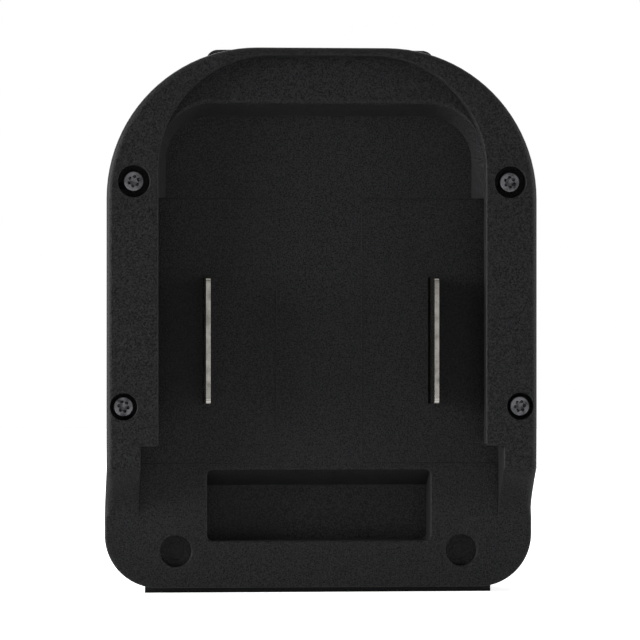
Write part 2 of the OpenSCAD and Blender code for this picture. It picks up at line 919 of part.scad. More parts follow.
// Fork contact: a folded strip whose two arms close towards the mouth, and a tail to the board
module fork_contact(x) {
  arm = [
    [fork_w / 2 - fork_t, fork_base_z],
    [fork_w / 2, fork_base_z],
    [fork_w / 2, fork_base_z + fork_l / 3],
    [fork_throat + fork_t - fork_pinch, fork_base_z + fork_l - fork_flare],
    [fork_throat + fork_t, fork_base_z + fork_l],
    [fork_throat, fork_base_z + fork_l],
    [fork_throat - fork_pinch, fork_base_z + fork_l - fork_flare],
    [fork_w / 2 - fork_t, fork_base_z + fork_l / 3]
  ];
  translate([x, 0, 0]) {
    slab(fork_out - fork_d, fork_out) {
      polygon(arm);
      mirror([1, 0])
        polygon(arm);
      translate([-fork_w / 2, fork_base_z])
        square([fork_w, fork_t]);
    }
    block(
      -fork_t / 2, fork_t / 2, board_d - solder_l, fork_out - fork_d + past,
      fork_base_z, fork_base_z + fork_tail_w
    );
  }
}

module tool_contact_positive() {
  color(nickel)
    fork_contact(power_x);
}

module tool_contact_negative() {
  color(nickel)
    fork_contact(-power_x);
}

module signal_contacts() {
  color(nickel)
    both_sides()
      fork_contact(signal_x);
}

// Flange behind the windows, ribbed thumb pad and the catch with its sloping leading face
module release_latch() {
  color(black_nylon) {
    block(-flange_half, flange_half, flange_in, flange_out, flange_z, catch_top_z);
    block(-pad_w / 2, pad_w / 2, flange_out - touch, pad_out, pad_rise, pad_top_z);
    for (i = [1:rib_count]) {
      rib_z = pad_rise + pad_h * i / (rib_count + 1);
      block(
        -pad_w / 2 + rib_t, pad_w / 2 - rib_t, pad_out - touch, pad_out + rib_h,
        rib_z - rib_t / 2, rib_z + rib_t / 2
      );
    }
    bar(-catch_w / 2, catch_w / 2)
      polygon([
        [flange_out - touch, catch_z],
        [catch_out, catch_z],
        [catch_out, catch_z + catch_h / 3],
        [house_out, catch_top_z],
        [flange_out - touch, catch_top_z]
      ]);
    both_sides()
      rod(spring_pitch / 2, spring_z, spigot_dia, flange_in - spigot_h, flange_in + touch);
  }
}

// Helix between the seat on the recess and the latch flange
module latch_spring(x) {
  curl_rings = 8;
  wire_sides = 6;
  coil_r = (spring_dia - spring_wire) / 2;
  first_d = recess_back + touch + spring_wire / 2;
  last_d = flange_in - touch - spring_wire / 2;
  rings = spring_turns * curl_rings;
  pitch = (last_d - first_d) / spring_turns;
  route = [for (i = [0:rings])
    let (a = 360 * i / curl_rings)
    [x + coil_r * cos(a), y_at(first_d + pitch * i / curl_rings), spring_z + coil_r * sin(a)]];
  turn_gaps = [for (i = [0:rings - curl_rings]) norm(route[i + curl_rings] - route[i]) - spring_wire];
  echo(least_gap_between_turns = min(turn_gaps));
  color(nickel)
    tube(route, spring_wire, wire_sides, [0, 1, 0]);
}

module latch_spring_left() {
  latch_spring(-spring_pitch / 2);
}

module latch_spring_right() {
  latch_spring(spring_pitch / 2);
}

battery_side_shell();
tool_side_shell();
case_screws();
battery_blade_positive();
battery_blade_negative();
blade_holder();
blade_holder_screws();
lead_positive();
lead_negative();
circuit_board();
board_screws();
power_transistors();
control_chip();
fuse();
shunt_resistor();
capacitors();
resistors();
contact_block();
tool_contact_positive();
tool_contact_negative();
signal_contacts();
release_latch();
latch_spring_left();
latch_spring_right();
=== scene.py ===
"""Dresses the tool battery adapter: rounded mouldings, modelled fittings, materials and a studio stage."""
import json
import math
from collections import namedtuple

import bmesh
import bpy
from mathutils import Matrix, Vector


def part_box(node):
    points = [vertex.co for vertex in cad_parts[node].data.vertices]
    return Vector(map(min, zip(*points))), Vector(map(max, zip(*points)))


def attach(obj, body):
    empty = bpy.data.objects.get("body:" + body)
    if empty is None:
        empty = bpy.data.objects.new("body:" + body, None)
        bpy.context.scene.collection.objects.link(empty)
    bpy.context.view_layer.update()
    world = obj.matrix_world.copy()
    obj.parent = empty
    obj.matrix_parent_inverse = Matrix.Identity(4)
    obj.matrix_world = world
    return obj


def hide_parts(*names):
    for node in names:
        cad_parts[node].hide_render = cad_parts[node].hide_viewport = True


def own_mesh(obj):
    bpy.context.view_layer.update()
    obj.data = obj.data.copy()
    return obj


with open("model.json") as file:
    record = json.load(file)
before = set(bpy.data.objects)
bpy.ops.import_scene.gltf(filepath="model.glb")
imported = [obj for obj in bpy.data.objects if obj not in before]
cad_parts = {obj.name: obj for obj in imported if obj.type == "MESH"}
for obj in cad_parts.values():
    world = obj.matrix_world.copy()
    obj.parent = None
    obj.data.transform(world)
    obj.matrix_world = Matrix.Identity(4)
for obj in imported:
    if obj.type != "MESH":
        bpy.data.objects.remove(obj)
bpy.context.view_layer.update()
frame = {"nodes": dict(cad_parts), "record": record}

bl_info = {
    "name": "Tool Battery Adapter",
    "version": (1, 0, 0),
    "blender": (4, 5, 0),
    "location": "3D View > Sidebar > Adapter",
    "description": "Models and dresses a slide-on battery adapter around its construction model",
    "category": "Object",
}

MM = 0.001

# Places of the construction model's faces in millimetres: depths are counted from the rim's face
SHELL_LOW, SHELL_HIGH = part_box("battery_side_shell")
RIM_Y = SHELL_LOW.y
BODY_HALF = SHELL_HIGH.x / MM
BODY_TOP = SHELL_HIGH.z / MM
BODY_FOOT = 0.9
TOP_ARC_R = 26.6
BOTTOM_CORNER_R = 9.4
BLOCK_D = 5.0
BLOCK_TOP = 96.0
BLOCK_HALF = 20.2
BLOCK_R = 2.0
BAY_HALF = 28.9
BAY_TOP = 94.7
BAY_ARC_R = 20.0
POCKET_TOP = 86.6
POCKET_ARC_R = 10.1
SHELF_D = 2.6
LIP_D = 3.2
FLOOR_D = 7.6
RECESS_HALF = 19.85
RECESS_Z = (9.2, 21.8)
RECESS_R = 1.0
RECESS_LEAN = 0.446
POST_X = 25.4
POST_Z = 7.4
POST_SEAT_R = 2.8
END_WALL_LEAN = 2.1
SIDE_WALL_LEAN = 1.7
SEAM_D = 18.0
PANEL_D = 28.0
HOUSE_D = 35.5
DECK_D = 38.0
MOUTH_Z = 26.1
MOUTH_HALF = 32.05
LEG_Z = 22.0
RAMP_H = 9.0
RAMP_FOOT_Z = LEG_Z - RAMP_H
RAMP_EASE = 1.15
RAMP_ROWS = 24
LEG_STEP = 0.4
STEP_ROW = 0.02
RAMP_END = 0.25
WALL_TAPER = 0.045
FOOT_TAPER = 0.07
FOOT_HALF = 29.5
NECK_R = 7.5
NECK_ARC_X = 16.0
NECK_ARC_Z = 88.5
HOUSE_HALF = 28.96
HOUSE_TOP = 29.8
HOUSE_R = 2.2
DECK_HALF = 27.0
DECK_FOOT = 28.8
DECK_TOP = 96.0
DECK_R = 11.0
SLOT_XS = (4.7, 14.0)
SLOT_HALF = 1.1
SLOT_FOOT = 77.0

# Windows of the latch housing, the thumb pad and its ribs: half widths and heights
PAD_WINDOW = (15.3, 8.7, 20.3)
CATCH_WINDOW = (12.3, 22.2, 27.3)
PAD = (15.0, 9.0, 20.0)
PAD_D = 36.7
RIB_HALF = 13.8
RIB_ZS = (11.15, 13.9, 16.65)
RIB_W = 1.2
RIB_D = 37.2

# Case screws: their seats, the domed head, the pointed shank, the cones that end the socket and its lobes,
# and the degrees by which each screw is turned
UPPER_SEAT_R = 2.8
LOWER_SEAT_R = 2.4
HEAD_H = 1.7
DOME_H = 0.35
DOME_W = 0.4
DOME_STEPS = 6
SHANK_R = 1.3
POINT_H = 0.8
POINT_R = 0.6
LOBES = 6
SOCKET_CONE_H = 0.45
LOBE_CONE_H = 0.2
CONE_TIP_R = 0.05
CUT_ABOVE = 0.5
SOCKET_SIDES = 32
LOBE_SIDES = 16
SCREW_TURNS = (12, 40, 25, 53)

# A height between the upper and the lower screws, and between the latch housing and the top of the neck
MIDDLE_Z = 50.0

# Contact blades: heights of their ends
BLADE_ENDS = (33.5, 55.8)

# Fine lines that the mould inserts leave on the bay floor, as X and Z at the right
WITNESS_SUNK = 0.02
WITNESS = ((27.0, 69.75), (7.65, 69.75), (7.65, 22.9), (31.4, 22.9))

# Latch springs between the recess and the latch
SPRING_Z = 14.05
SPRING_X = 10.0
SPRING_SEAT_D = 16.1
SPRING_END_D = 30.5
SPRING_GAP = 0.05
CLOSED_PITCH = 1.04
POINTS_PER_TURN = 24

# Tolerances in millimetres: a place on a plane, and the outline's taper at the seam
NEAR = 0.06
SEAM_SLACK = 1.2

# Edges that bend by more than the first are sharp, and faces that bend by less than the second are one face
SHARP = math.radians(20)
FLAT = math.radians(0.4)
QUADS = math.radians(4)
MERGE = 0.002 * MM

# Smooth shading runs over edges that bend by less than this, on mouldings and on round tubes and wires
MOULDED_BEND = math.radians(35)
TUBE_BEND = math.radians(60)

Place = namedtuple("Place", "x d z across deep convex")

# A point of an edge in millimetres: the normal into the material, the depth of the face in front of it, the
# radius of its rounding, and how far the wall behind it leans over the hole for each millimetre of depth
EdgePoint = namedtuple("EdgePoint", "x z nx nz depth radius lean")

# Section of a rounding: the degrees left out at both ends of its arc, the arc's steps, and how far the cut
# runs on past the arc, as a share of the radius
ARC_SLACK = 9.0
ARC_STEPS = 5
RUN_ON = 0.35

# Paths of the rounded edges: steps round a small corner and a hole, the height over which one radius passes
# into the next, the first row of the rim over the ramps, and the smallest rounding
CORNER_STEPS = 8
HOLE_SIDES = 60
RADIUS_BLEND = 2.5
RIM_ROW = 2.0
SMALLEST = 0.02

# Share of the room beside an edge that its rounding may take
RAMP_SHARE = 0.4
SHELF_SHARE = 0.5
BLOCK_SHARE = 0.8
PANEL_SHARE = 0.6

# Ends of the paths that don't run all round: degrees on an arc, and places in millimetres
SHELF_FROM = 27
BLOCK_FROM = 10
BLOCK_SIDE_ZS = (94.0, 94.3)
BLOCK_TOP_XS = (17.5, 16.8, 16.1, 15.4, 14.7, 14.0)
PANEL_FROM = -78
PANEL_TO = 62.5
HOUSE_FROM = 60
SLOT_END = DECK_TOP + 1.0

# Stage, in metres: the floor's radius, the ring over which it turns white, and how white it is inside that
FLOOR_R = 1.2
FLOOR_FADE = (0.05, 0.2)
FLOOR_NEAR = 0.7


def linear(hex_colour):
    """An sRGB hex colour as linear red, green, blue and a full alpha."""
    parts = [int(hex_colour[i:i + 2], 16) / 255 for i in (1, 3, 5)]
    return tuple(c / 12.92 if c <= 0.04045 else ((c + 0.055) / 1.055) ** 2.4 for c in parts) + (1.0,)


def length(name, millimetres, description):
    """A length that a user can set, given in millimetres and kept in metres."""
    return bpy.props.FloatProperty(
        name=name, description=description, default=millimetres * MM, min=0.0, precision=5, unit='LENGTH')


def colour(name, hex_colour, description):
    """A colour that a user can set."""
    return bpy.props.FloatVectorProperty(
        name=name, description=description, default=linear(hex_colour), size=4, min=0.0, max=1.0,
        subtype='COLOR')


def power(name, watts, description):
    """The power of a lamp, which a user can set."""
    return bpy.props.FloatProperty(name=name, description=description, default=watts, subtype='POWER')


class AdapterEdges(bpy.types.PropertyGroup):
    """Radii of the moulded edges"""
    rim: length("Rim", 1.1, "Outer edge of the rim")
    ramp: length("Ramp", 1.5, "Outer edge of the two ramps below the rim")
    plate: length("Plate", 0.45, "Outer edge of the bottom plate")
    bay: length("Bay", 0.3, "Edge between the rim and the bay")
    shelf: length("Shelf", 1.2, "Front edge of the crescent shelf at the top of the bay")
    lip: length("Lip", 0.6, "Corners at the ends of the rail lips")
    lip_root: length("Lip root", 0.7, "Hollow corner between the rail lips and the mouth")
    recess: length("Recess", 0.35, "Mouth of the latch recess")
    hole: length("Hole", 0.15, "Mouths of the screw seats and of the post seats")
    seam: length("Seam", 0.22, "Edges of the two shells where they meet")
    block: length("Block", 0.8, "Front edge of the block behind the top of the rim")
    panel: length("Panel", 0.9, "Outer edge of the tool-side panel")
    deck: length("Deck", 0.7, "Outer edge of the tool deck")
    house: length("Latch house", 0.8, "Outer edge of the latch housing")
    window: length("Window", 0.3, "Windows of the latch and the contact slots")


class AdapterFittings(bpy.types.PropertyGroup):
    """Sizes of the fittings"""
    blade_corner: length("Blade corner", 0.8, "Corners of the contact blades, seen from the side")
    blade_edge: length("Blade edge", 0.27, "Edges of the strip that the blades are stamped from")
    latch_edge: length("Latch edge", 0.4, "Edges of the thumb pad and the catch")
    rib_edge: length("Rib edge", 0.3, "Edges of the ribs on the thumb pad")
    witness: length("Witness line", 0.11, "Radius of the fine raised lines that the mould inserts leave")
    socket_r: length("Socket", 0.82, "Radius of the round middle of the screws' six-lobe socket")
    lobe_r: length("Lobe", 0.29, "Radius of one lobe of that socket")
    socket_depth: length("Socket depth", 0.9, "Depth of that socket")
    spring_wire: length("Spring wire", 0.7, "Thickness of the latch springs' wire")
    spring_width: length("Spring width", 5.5, "Outer diameter of the latch springs")
    spring_turns: bpy.props.IntProperty(
        name="Spring turns", description="Free turns of the latch springs", default=6, min=3, max=9)


class AdapterColours(bpy.types.PropertyGroup):
    """Colours of the adapter's materials"""
    nylon_dark: colour("Nylon, dark", "#080809", "Darker shade of the black nylon")
    nylon_light: colour("Nylon, light", "#262627", "Lighter shade of the black nylon")
    acetal: colour("Acetal", "#19191A", "Black acetal of the release latch")
    polyester: colour("Polyester", "#232323", "Black polyester of the holder and the contact block")
    nickel: colour("Nickel", "#918E89", "Nickel plating of the contacts")
    nickel_dull: colour("Nickel, dull", "#6E6B66", "Rubbed and dulled plating of the contacts")
    zinc: colour("Zinc", "#58585B", "Black zinc plating of the screws")
    zinc_dark: colour("Zinc, dark", "#28282A", "Thick black zinc plating of the screws")
    steel: colour("Steel", "#B4B3B0", "Drawn spring steel")
    mask: colour("Solder mask", "#0E5A2A", "Green solder mask of the board")
    mask_track: colour("Mask over copper", "#17753A", "Solder mask where copper tracks lie below it")
    epoxy: colour("Epoxy", "#1B1B1C", "Black moulded packages")
    ceramic: colour("Ceramic", "#BCA884", "Ceramic bodies")
    silicone_red: colour("Red silicone", "#B01A18", "Insulation of the positive lead")
    silicone_black: colour("Black silicone", "#202021", "Insulation of the negative lead")
    paper: colour("Paper", "#F2F2F2", "Floor of the stage")


class AdapterStage(bpy.types.PropertyGroup):
    """Camera and light of the stage"""
    camera_side: length("Camera side", 72.0, "How far the camera stands to the left of the middle")
    camera_back: length("Camera distance", 792.0, "How far the camera stands in front of the rim")
    camera_height: length("Camera height", 48.3, "Height of the camera over the floor")
    aim_side: length("Aim", 0.52, "How far to the left of the middle the camera aims")
    view_angle: bpy.props.FloatProperty(
        name="View angle", description="Angle of view of the camera", default=math.radians(8.084),
        subtype='ANGLE')
    left: power("Left light", 11.0, "Softbox at the left, level with the front")
    right: power("Right light", 4.3, "Softbox at the right, level with the front")
    overhead: power("Overhead light", 0.6, "Softbox above")
    back: power("Back light", 2.4, "Softbox behind")
    card: power("Card", 0.013, "White card on the floor in front, which throws light up")
    room: bpy.props.FloatProperty(
        name="Room light", description="Strength of the light from all round", default=0.02)


def add(tree, kind, settings=None, **properties):
    """Adds one node. Settings name its inputs: a socket is linked, and any other value is set."""
    node = tree.nodes.new(kind)
    for name, value in properties.items():
        setattr(node, name, value)
    for name, value in (settings or {}).items():
        if isinstance(value, bpy.types.NodeSocket):
            tree.links.new(value, node.inputs[name])
        else:
            node.inputs[name].default_value = value
    return node


def start_material(name):
    """A new node material: its tree, its shader and the piece's own coordinates in metres."""
    material = bpy.data.materials.new(name)
    material.use_nodes = True
    tree = material.node_tree
    tree.nodes.clear()
    shader = add(tree, "ShaderNodeBsdfPrincipled")
    add(tree, "ShaderNodeOutputMaterial", {"Surface": shader.outputs["BSDF"]})
    coords = add(tree, "ShaderNodeTexCoord").outputs["Object"]
    return material, tree, shader, coords


def per_metre(millimetres):
    """Scale of a pattern on metre coordinates whose features are so many millimetres wide."""
    return 1 / (millimetres * MM)


def ramp_between(tree, factor, first, second, low=0.35, high=0.65):
    """Blends two colours by a pattern."""
    node = add(tree, "ShaderNodeValToRGB", {"Fac": factor})
    stops = node.color_ramp.elements
    stops[0].position, stops[1].position = low, high
    stops[0].color, stops[1].color = first, second
    return node.outputs["Color"]


# Spread of roughness over a grain, and the width and depth of the marks on metal in millimetres
PLASTIC_GLOSS_SPREAD = 0.07
METAL_GLOSSIER = 0.05
METAL_DULLER = 0.06
METAL_PATCH = 1.6
METAL_MARK_DEPTH = 0.006


def moulded_plastic(name, dark, light, grain_mm, depth_mm, roughness, specular, ior):
    """Moulded plastic: a grain that pits the surface, speckles its colour and breaks up its gloss."""
    material, tree, shader, coords = start_material(name)
    pits = add(tree, "ShaderNodeTexNoise", {"Vector": coords, "Scale": per_metre(grain_mm), "Detail": 2.0})
    tint = ramp_between(tree, pits.outputs["Fac"], dark, light)
    gloss = add(tree, "ShaderNodeMapRange", {
        "Value": pits.outputs["Fac"], "From Min": 0.3, "From Max": 0.7,
        "To Min": roughness - PLASTIC_GLOSS_SPREAD, "To Max": roughness + PLASTIC_GLOSS_SPREAD,
    })
    bump = add(tree, "ShaderNodeBump", {
        "Height": pits.outputs["Fac"], "Strength": 1.0, "Distance": depth_mm * MM,
    })
    tree.links.new(tint, shader.inputs["Base Color"])
    tree.links.new(gloss.outputs["Result"], shader.inputs["Roughness"])
    tree.links.new(bump.outputs["Normal"], shader.inputs["Normal"])
    shader.inputs["Specular IOR Level"].default_value = specular
    shader.inputs["IOR"].default_value = ior
    return material


def shell_material():
    """Black glass-filled nylon from a spark-eroded mould: an even pitted grain that scatters the light."""
    colours = bpy.context.scene.adapter_colours
    # The real grain is finer: it is drawn this coarse and deep so that it shows in the render
    return moulded_plastic(
        "black_glass_filled_nylon", colours.nylon_dark, colours.nylon_light,
        grain_mm=0.24, depth_mm=0.05, roughness=0.5, specular=0.065, ior=1.53)


def latch_material():
    """Black acetal from a finely blasted mould: smoother than the shells, with a soft satin gloss."""
    colours = bpy.context.scene.adapter_colours
    return moulded_plastic(
        "black_satin_acetal", colours.acetal, colours.nylon_light,
        grain_mm=0.25, depth_mm=0.008, roughness=0.4, specular=0.3, ior=1.48)


def insulator_material():
    """Heat-resistant black polyester moulding: dull, with a faint flow pattern."""
    colours = bpy.context.scene.adapter_colours
    return moulded_plastic(
        "black_polyester_moulding", colours.polyester, colours.nylon_light,
        grain_mm=0.3, depth_mm=0.01, roughness=0.5, specular=0.3, ior=1.56)


def epoxy_material():
    """Transfer-moulded epoxy packages: black and very dull, with the mould's fine matt texture."""
    colours = bpy.context.scene.adapter_colours
    return moulded_plastic(
        "moulded_epoxy_package", colours.epoxy, colours.polyester,
        grain_mm=0.12, depth_mm=0.005, roughness=0.65, specular=0.25, ior=1.55)


def silicone_material(name, shade):
    """Extruded silicone insulation: a soft dull skin with faint dust on it."""
    dust = [c * 0.7 + 0.05 for c in shade[:3]] + [1.0]
    return moulded_plastic(
        name, shade, dust, grain_mm=0.2, depth_mm=0.004, roughness=0.48, specular=0.35, ior=1.41)


def ceramic_material():
    """Fired ceramic bodies: pale tan, speckled, with a slight glaze."""
    light = bpy.context.scene.adapter_colours.ceramic
    dark = [c * 0.75 for c in light[:3]] + [1.0]
    return moulded_plastic(
        "fired_ceramic", dark, light, grain_mm=0.15, depth_mm=0.004, roughness=0.38, specular=0.5, ior=1.6)


def plated_metal(name, bright, dull, grain, roughness):
    """Plated metal: dull patches, and fine lines or pits, whose widths in X, Y and Z are in millimetres."""
    material, tree, shader, coords = start_material(name)
    patches = add(tree, "ShaderNodeTexNoise", {
        "Vector": coords, "Scale": per_metre(METAL_PATCH), "Detail": 4.0,
    })
    tint = ramp_between(tree, patches.outputs["Fac"], dull, bright, 0.3, 0.6)
    scales = [per_metre(size) for size in grain]
    spread = add(tree, "ShaderNodeMapping", {"Vector": coords, "Scale": scales})
    lines = add(tree, "ShaderNodeTexNoise", {
        "Vector": spread.outputs["Vector"], "Scale": 1.0, "Detail": 2.0,
    })
    gloss = add(tree, "ShaderNodeMapRange", {
        "Value": lines.outputs["Fac"], "From Min": 0.3, "From Max": 0.7,
        "To Min": roughness - METAL_GLOSSIER, "To Max": roughness + METAL_DULLER,
    })
    bump = add(tree, "ShaderNodeBump", {
        "Height": lines.outputs["Fac"], "Strength": 0.25, "Distance": METAL_MARK_DEPTH * MM,
    })
    tree.links.new(tint, shader.inputs["Base Color"])
    tree.links.new(gloss.outputs["Result"], shader.inputs["Roughness"])
    tree.links.new(bump.outputs["Normal"], shader.inputs["Normal"])
    shader.inputs["Metallic"].default_value = 1.0
    return material


def contact_material():
    """Rolled copper-alloy strip, nickel-plated: bright, with rolling lines along it and rubbed patches."""
    colours = bpy.context.scene.adapter_colours
    return plated_metal(
        "nickel_plated_strip", colours.nickel, colours.nickel_dull, (0.12, 0.12, 2.5), roughness=0.2)


def screw_material():
    """Cold-headed steel with black zinc plating: grey where the plating is thin, and slightly pitted."""
    colours = bpy.context.scene.adapter_colours
    return plated_metal(
        "black_zinc_plated_steel", colours.zinc, colours.zinc_dark, (0.2, 0.2, 0.2), roughness=0.34)


def spring_material():
    """Drawn spring steel: bright wire with die lines."""
    colours = bpy.context.scene.adapter_colours
    dull = [c * 0.6 for c in colours.steel[:3]] + [1.0]
    return plated_metal("drawn_spring_steel", colours.steel, dull, (0.1, 0.6, 0.1), roughness=0.28)


def board_material():
    """Glass-epoxy laminate under green solder mask: tracks show as lighter bands below the glossy mask."""
    colours = bpy.context.scene.adapter_colours
    material, tree, shader, coords = start_material("solder_mask_laminate")
    tracks = add(tree, "ShaderNodeTexBrick", {
        "Vector": coords, "Color1": colours.mask_track, "Color2": colours.mask_track,
        "Mortar": colours.mask, "Scale": 1.0,
        "Mortar Size": 0.35 * MM, "Brick Width": 7 * MM, "Row Height": 1.6 * MM,
    })
    weave = add(tree, "ShaderNodeTexNoise", {"Vector": coords, "Scale": per_metre(0.6), "Detail": 2.0})
    bump = add(tree, "ShaderNodeBump", {
        "Height": weave.outputs["Fac"], "Strength": 0.5, "Distance": 0.01 * MM,
    })
    tree.links.new(tracks.outputs["Color"], shader.inputs["Base Color"])
    tree.links.new(bump.outputs["Normal"], shader.inputs["Normal"])
    shader.inputs["Roughness"].default_value = 0.3
    shader.inputs["IOR"].default_value = 1.55
    return material


def red_lead_material():
    """Red silicone insulation of the positive lead."""
    return silicone_material("red_silicone", bpy.context.scene.adapter_colours.silicone_red)


def black_lead_material():
    """Black silicone insulation of the negative lead."""
    return silicone_material("black_silicone", bpy.context.scene.adapter_colours.silicone_black)


MATERIAL_MAKERS = {
    "shell": shell_material,
    "latch": latch_material,
    "insulator": insulator_material,
    "contact": contact_material,
    "screw": screw_material,
    "spring": spring_material,
    "board": board_material,
    "chip": epoxy_material,
    "ceramic": ceramic_material,
    "lead_red": red_lead_material,
    "lead_black": black_lead_material,
}
MATERIALS = {}


def material_for(slot):
    """The material of a slot of the record, made when it is first asked for."""
    if slot not in MATERIALS:
        MATERIALS[slot] = MATERIAL_MAKERS[slot]()
    return MATERIALS[slot]


def at(x, d, z):
    """A point in metres from X, the depth behind the rim and the height in millimetres."""
    return Vector((x * MM, RIM_Y + d * MM, z * MM))


def depth_of(y):
    """The depth behind the rim in millimetres of a place in metres."""
    return (y - RIM_Y) / MM


def make_active(piece):
    """Leaves one object selected and active, in object mode."""
    if bpy.context.mode != 'OBJECT':
        bpy.ops.object.mode_set(mode='OBJECT')
    bpy.ops.object.select_all(action='DESELECT')
    bpy.context.view_layer.objects.active = piece
    piece.select_set(True)


def edit_all(piece):
    """Opens a piece in edit mode with all of it selected."""
    make_active(piece)
    bpy.ops.object.mode_set(mode='EDIT')
    bpy.ops.mesh.select_all(action='SELECT')


def start_from(node, name):
    """A piece that starts as a copy of a CAD node, with its loose triangles merged into whole faces."""
    piece = bpy.data.objects.new(name, frame["nodes"][node].data.copy())
    bpy.context.scene.collection.objects.link(piece)
    piece.data.materials.clear()
    edit_all(piece)
    bpy.ops.mesh.remove_doubles(threshold=MERGE)
    bpy.ops.mesh.dissolve_limited(angle_limit=FLAT)
    bpy.ops.mesh.tris_convert_to_quads(face_threshold=QUADS, shape_threshold=math.pi)
    bpy.ops.object.mode_set(mode='OBJECT')
    return piece


def place_of(edge):
    """The middle of an edge in millimetres, with its depth behind the rim and how far it runs in depth."""
    first, second = (v.co for v in edge.verts)
    middle = (first + second) / 2
    deep = abs(first.y - second.y) / MM
    x = middle.x / MM
    return Place(x, depth_of(middle.y), middle.z / MM, abs(x), deep, edge.is_convex)


def apply_modifier(piece, kind, **settings):
    """Adds one modifier to a piece and applies it."""
    make_active(piece)
    modifier = piece.modifiers.new(kind.title(), kind)
    for name, value in settings.items():
        setattr(modifier, name, value)
    bpy.ops.object.modifier_apply(modifier=modifier.name)


def round_edges(piece, radius_at, segments=4):
    """Rounds each sharp edge of a piece by the radius in metres that radius_at gives for its place."""
    mesh = bmesh.new()
    mesh.from_mesh(piece.data)
    weights = mesh.edges.layers.float.new("bevel_weight_edge")
    radii = {e: radius_at(place_of(e)) for e in mesh.edges if e.calc_face_angle(0) > SHARP}
    largest = max(radii.values())
    for edge, radius in radii.items():
        edge[weights] = radius / largest
    mesh.to_mesh(piece.data)
    mesh.free()
    apply_modifier(
        piece, 'BEVEL', limit_method='WEIGHT', width=largest, segments=segments,
        use_clamp_overlap=False, loop_slide=True)


def smooth(piece, bend=MOULDED_BEND):
    """Smooth shading with crisp flat faces between the rounded edges."""
    make_active(piece)
    bpy.ops.object.shade_smooth_by_angle(angle=bend)
    apply_modifier(piece, 'WEIGHTED_NORMAL', keep_sharp=True, weight=50)


def combine(piece, tool, operation):
    """Joins or cuts a piece with another closed mesh, which is used up, and closes the hairline gaps."""
    apply_modifier(piece, 'BOOLEAN', operation=operation, object=tool, solver='EXACT')
    bpy.data.objects.remove(tool, do_unlink=True)
    edit_all(piece)
    bpy.ops.mesh.remove_doubles(threshold=MERGE)
    bpy.ops.mesh.dissolve_degenerate(threshold=MERGE)
    bpy.ops.object.mode_set(mode='OBJECT')


def turned(name, x, z, profile, segments=48):
    """A closed round body along the depth, through a profile of depths and radii in millimetres."""
    depth, radius = profile[0]
    bpy.ops.object.select_all(action='DESELECT')
    bpy.ops.mesh.primitive_circle_add(
        vertices=segments, radius=radius * MM, fill_type='NGON', location=at(x, depth, z),
        rotation=(math.pi / 2, 0, 0))
    piece = bpy.context.object
    piece.name = name
    bpy.ops.object.transform_apply(location=True, rotation=True, scale=True)
    bpy.ops.object.mode_set(mode='EDIT')
    bpy.ops.mesh.select_mode(type='FACE')
    bpy.ops.mesh.select_all(action='SELECT')
    for next_depth, next_radius in profile[1:]:
        step = (0, (next_depth - depth) * MM, 0)
        bpy.ops.mesh.extrude_region_move(TRANSFORM_OT_translate={"value": step})
        grow = next_radius / radius
        bpy.ops.transform.resize(value=(grow, 1, grow), center_override=at(x, next_depth, z))
        depth, radius = next_depth, next_radius
    bpy.ops.mesh.select_all(action='SELECT')
    bpy.ops.mesh.normals_make_consistent(inside=False)
    bpy.ops.object.mode_set(mode='OBJECT')
    return piece


def swept_wire(name, points, radius, sides=3):
    """A round wire of a radius in metres along a row of points."""
    curve = bpy.data.curves.new(name, 'CURVE')
    curve.dimensions = '3D'
    curve.bevel_depth = radius
    curve.bevel_resolution = sides
    curve.use_fill_caps = True
    spline = curve.splines.new('POLY')
    spline.points.add(len(points) - 1)
    for target, point in zip(spline.points, points):
        target.co = (*point, 1.0)
    piece = bpy.data.objects.new(name, curve)
    bpy.context.scene.collection.objects.link(piece)
    make_active(piece)
    bpy.ops.object.convert(target='MESH')
    piece = bpy.context.object
    edit_all(piece)
    bpy.ops.mesh.remove_doubles(threshold=MERGE)
    bpy.ops.mesh.normals_make_consistent(inside=False)
    bpy.ops.object.mode_set(mode='OBJECT')
    return piece


def finish_piece(piece, body, slot, *nodes):
    """Gives a piece the material of its slot and its body, and hides the CAD nodes that it stands for."""
    piece.data.materials.clear()
    piece.data.materials.append(material_for(slot))
    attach(piece, body)
    if nodes:
        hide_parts(*nodes)


def outline_gap(place):
    """How far a place lies inside the outline of the rim, in millimetres."""
    arc_x = BODY_HALF - TOP_ARC_R
    arc_z = BODY_TOP - TOP_ARC_R
    corner_x = BODY_HALF - BOTTOM_CORNER_R
    corner_z = BODY_FOOT + BOTTOM_CORNER_R
    if place.z > arc_z and place.across > arc_x:
        return TOP_ARC_R - math.hypot(place.across - arc_x, place.z - arc_z)
    if place.z < corner_z and place.across > corner_x:
        return BOTTOM_CORNER_R - math.hypot(place.across - corner_x, place.z - corner_z)
    return min(BODY_HALF - place.across, BODY_TOP - place.z, place.z - BODY_FOOT)


def arch_gap(place, top, corner_r):
    """How far a place lies inside an arch as wide as the bay, in millimetres."""
    corner_x = BAY_HALF - corner_r
    corner_z = top - corner_r
    if place.across > corner_x and place.z > corner_z:
        return corner_r - math.hypot(place.across - corner_x, place.z - corner_z)
    return min(BAY_HALF - place.across, top - place.z)


def shelf_width(place):
    """Width of the crescent shelf at a place on one of its two edges, in millimetres."""
    return arch_gap(place, BAY_TOP, BAY_ARC_R) - arch_gap(place, POCKET_TOP, POCKET_ARC_R)


def screw_places():
    """Middle of each case screw in X and Z, in millimetres, found in the CAD node of all four."""
    groups = {}
    for vertex in frame["nodes"]["case_screws"].data.vertices:
        groups.setdefault((vertex.co.x > 0, vertex.co.z > MIDDLE_Z * MM), []).append(vertex.co)
    places = []
    for points in groups.values():
        xs = [p.x for p in points]
        zs = [p.z for p in points]
        places.append(((min(xs) + max(xs)) / 2 / MM, (min(zs) + max(zs)) / 2 / MM))
    return sorted(places)


SCREWS = screw_places()


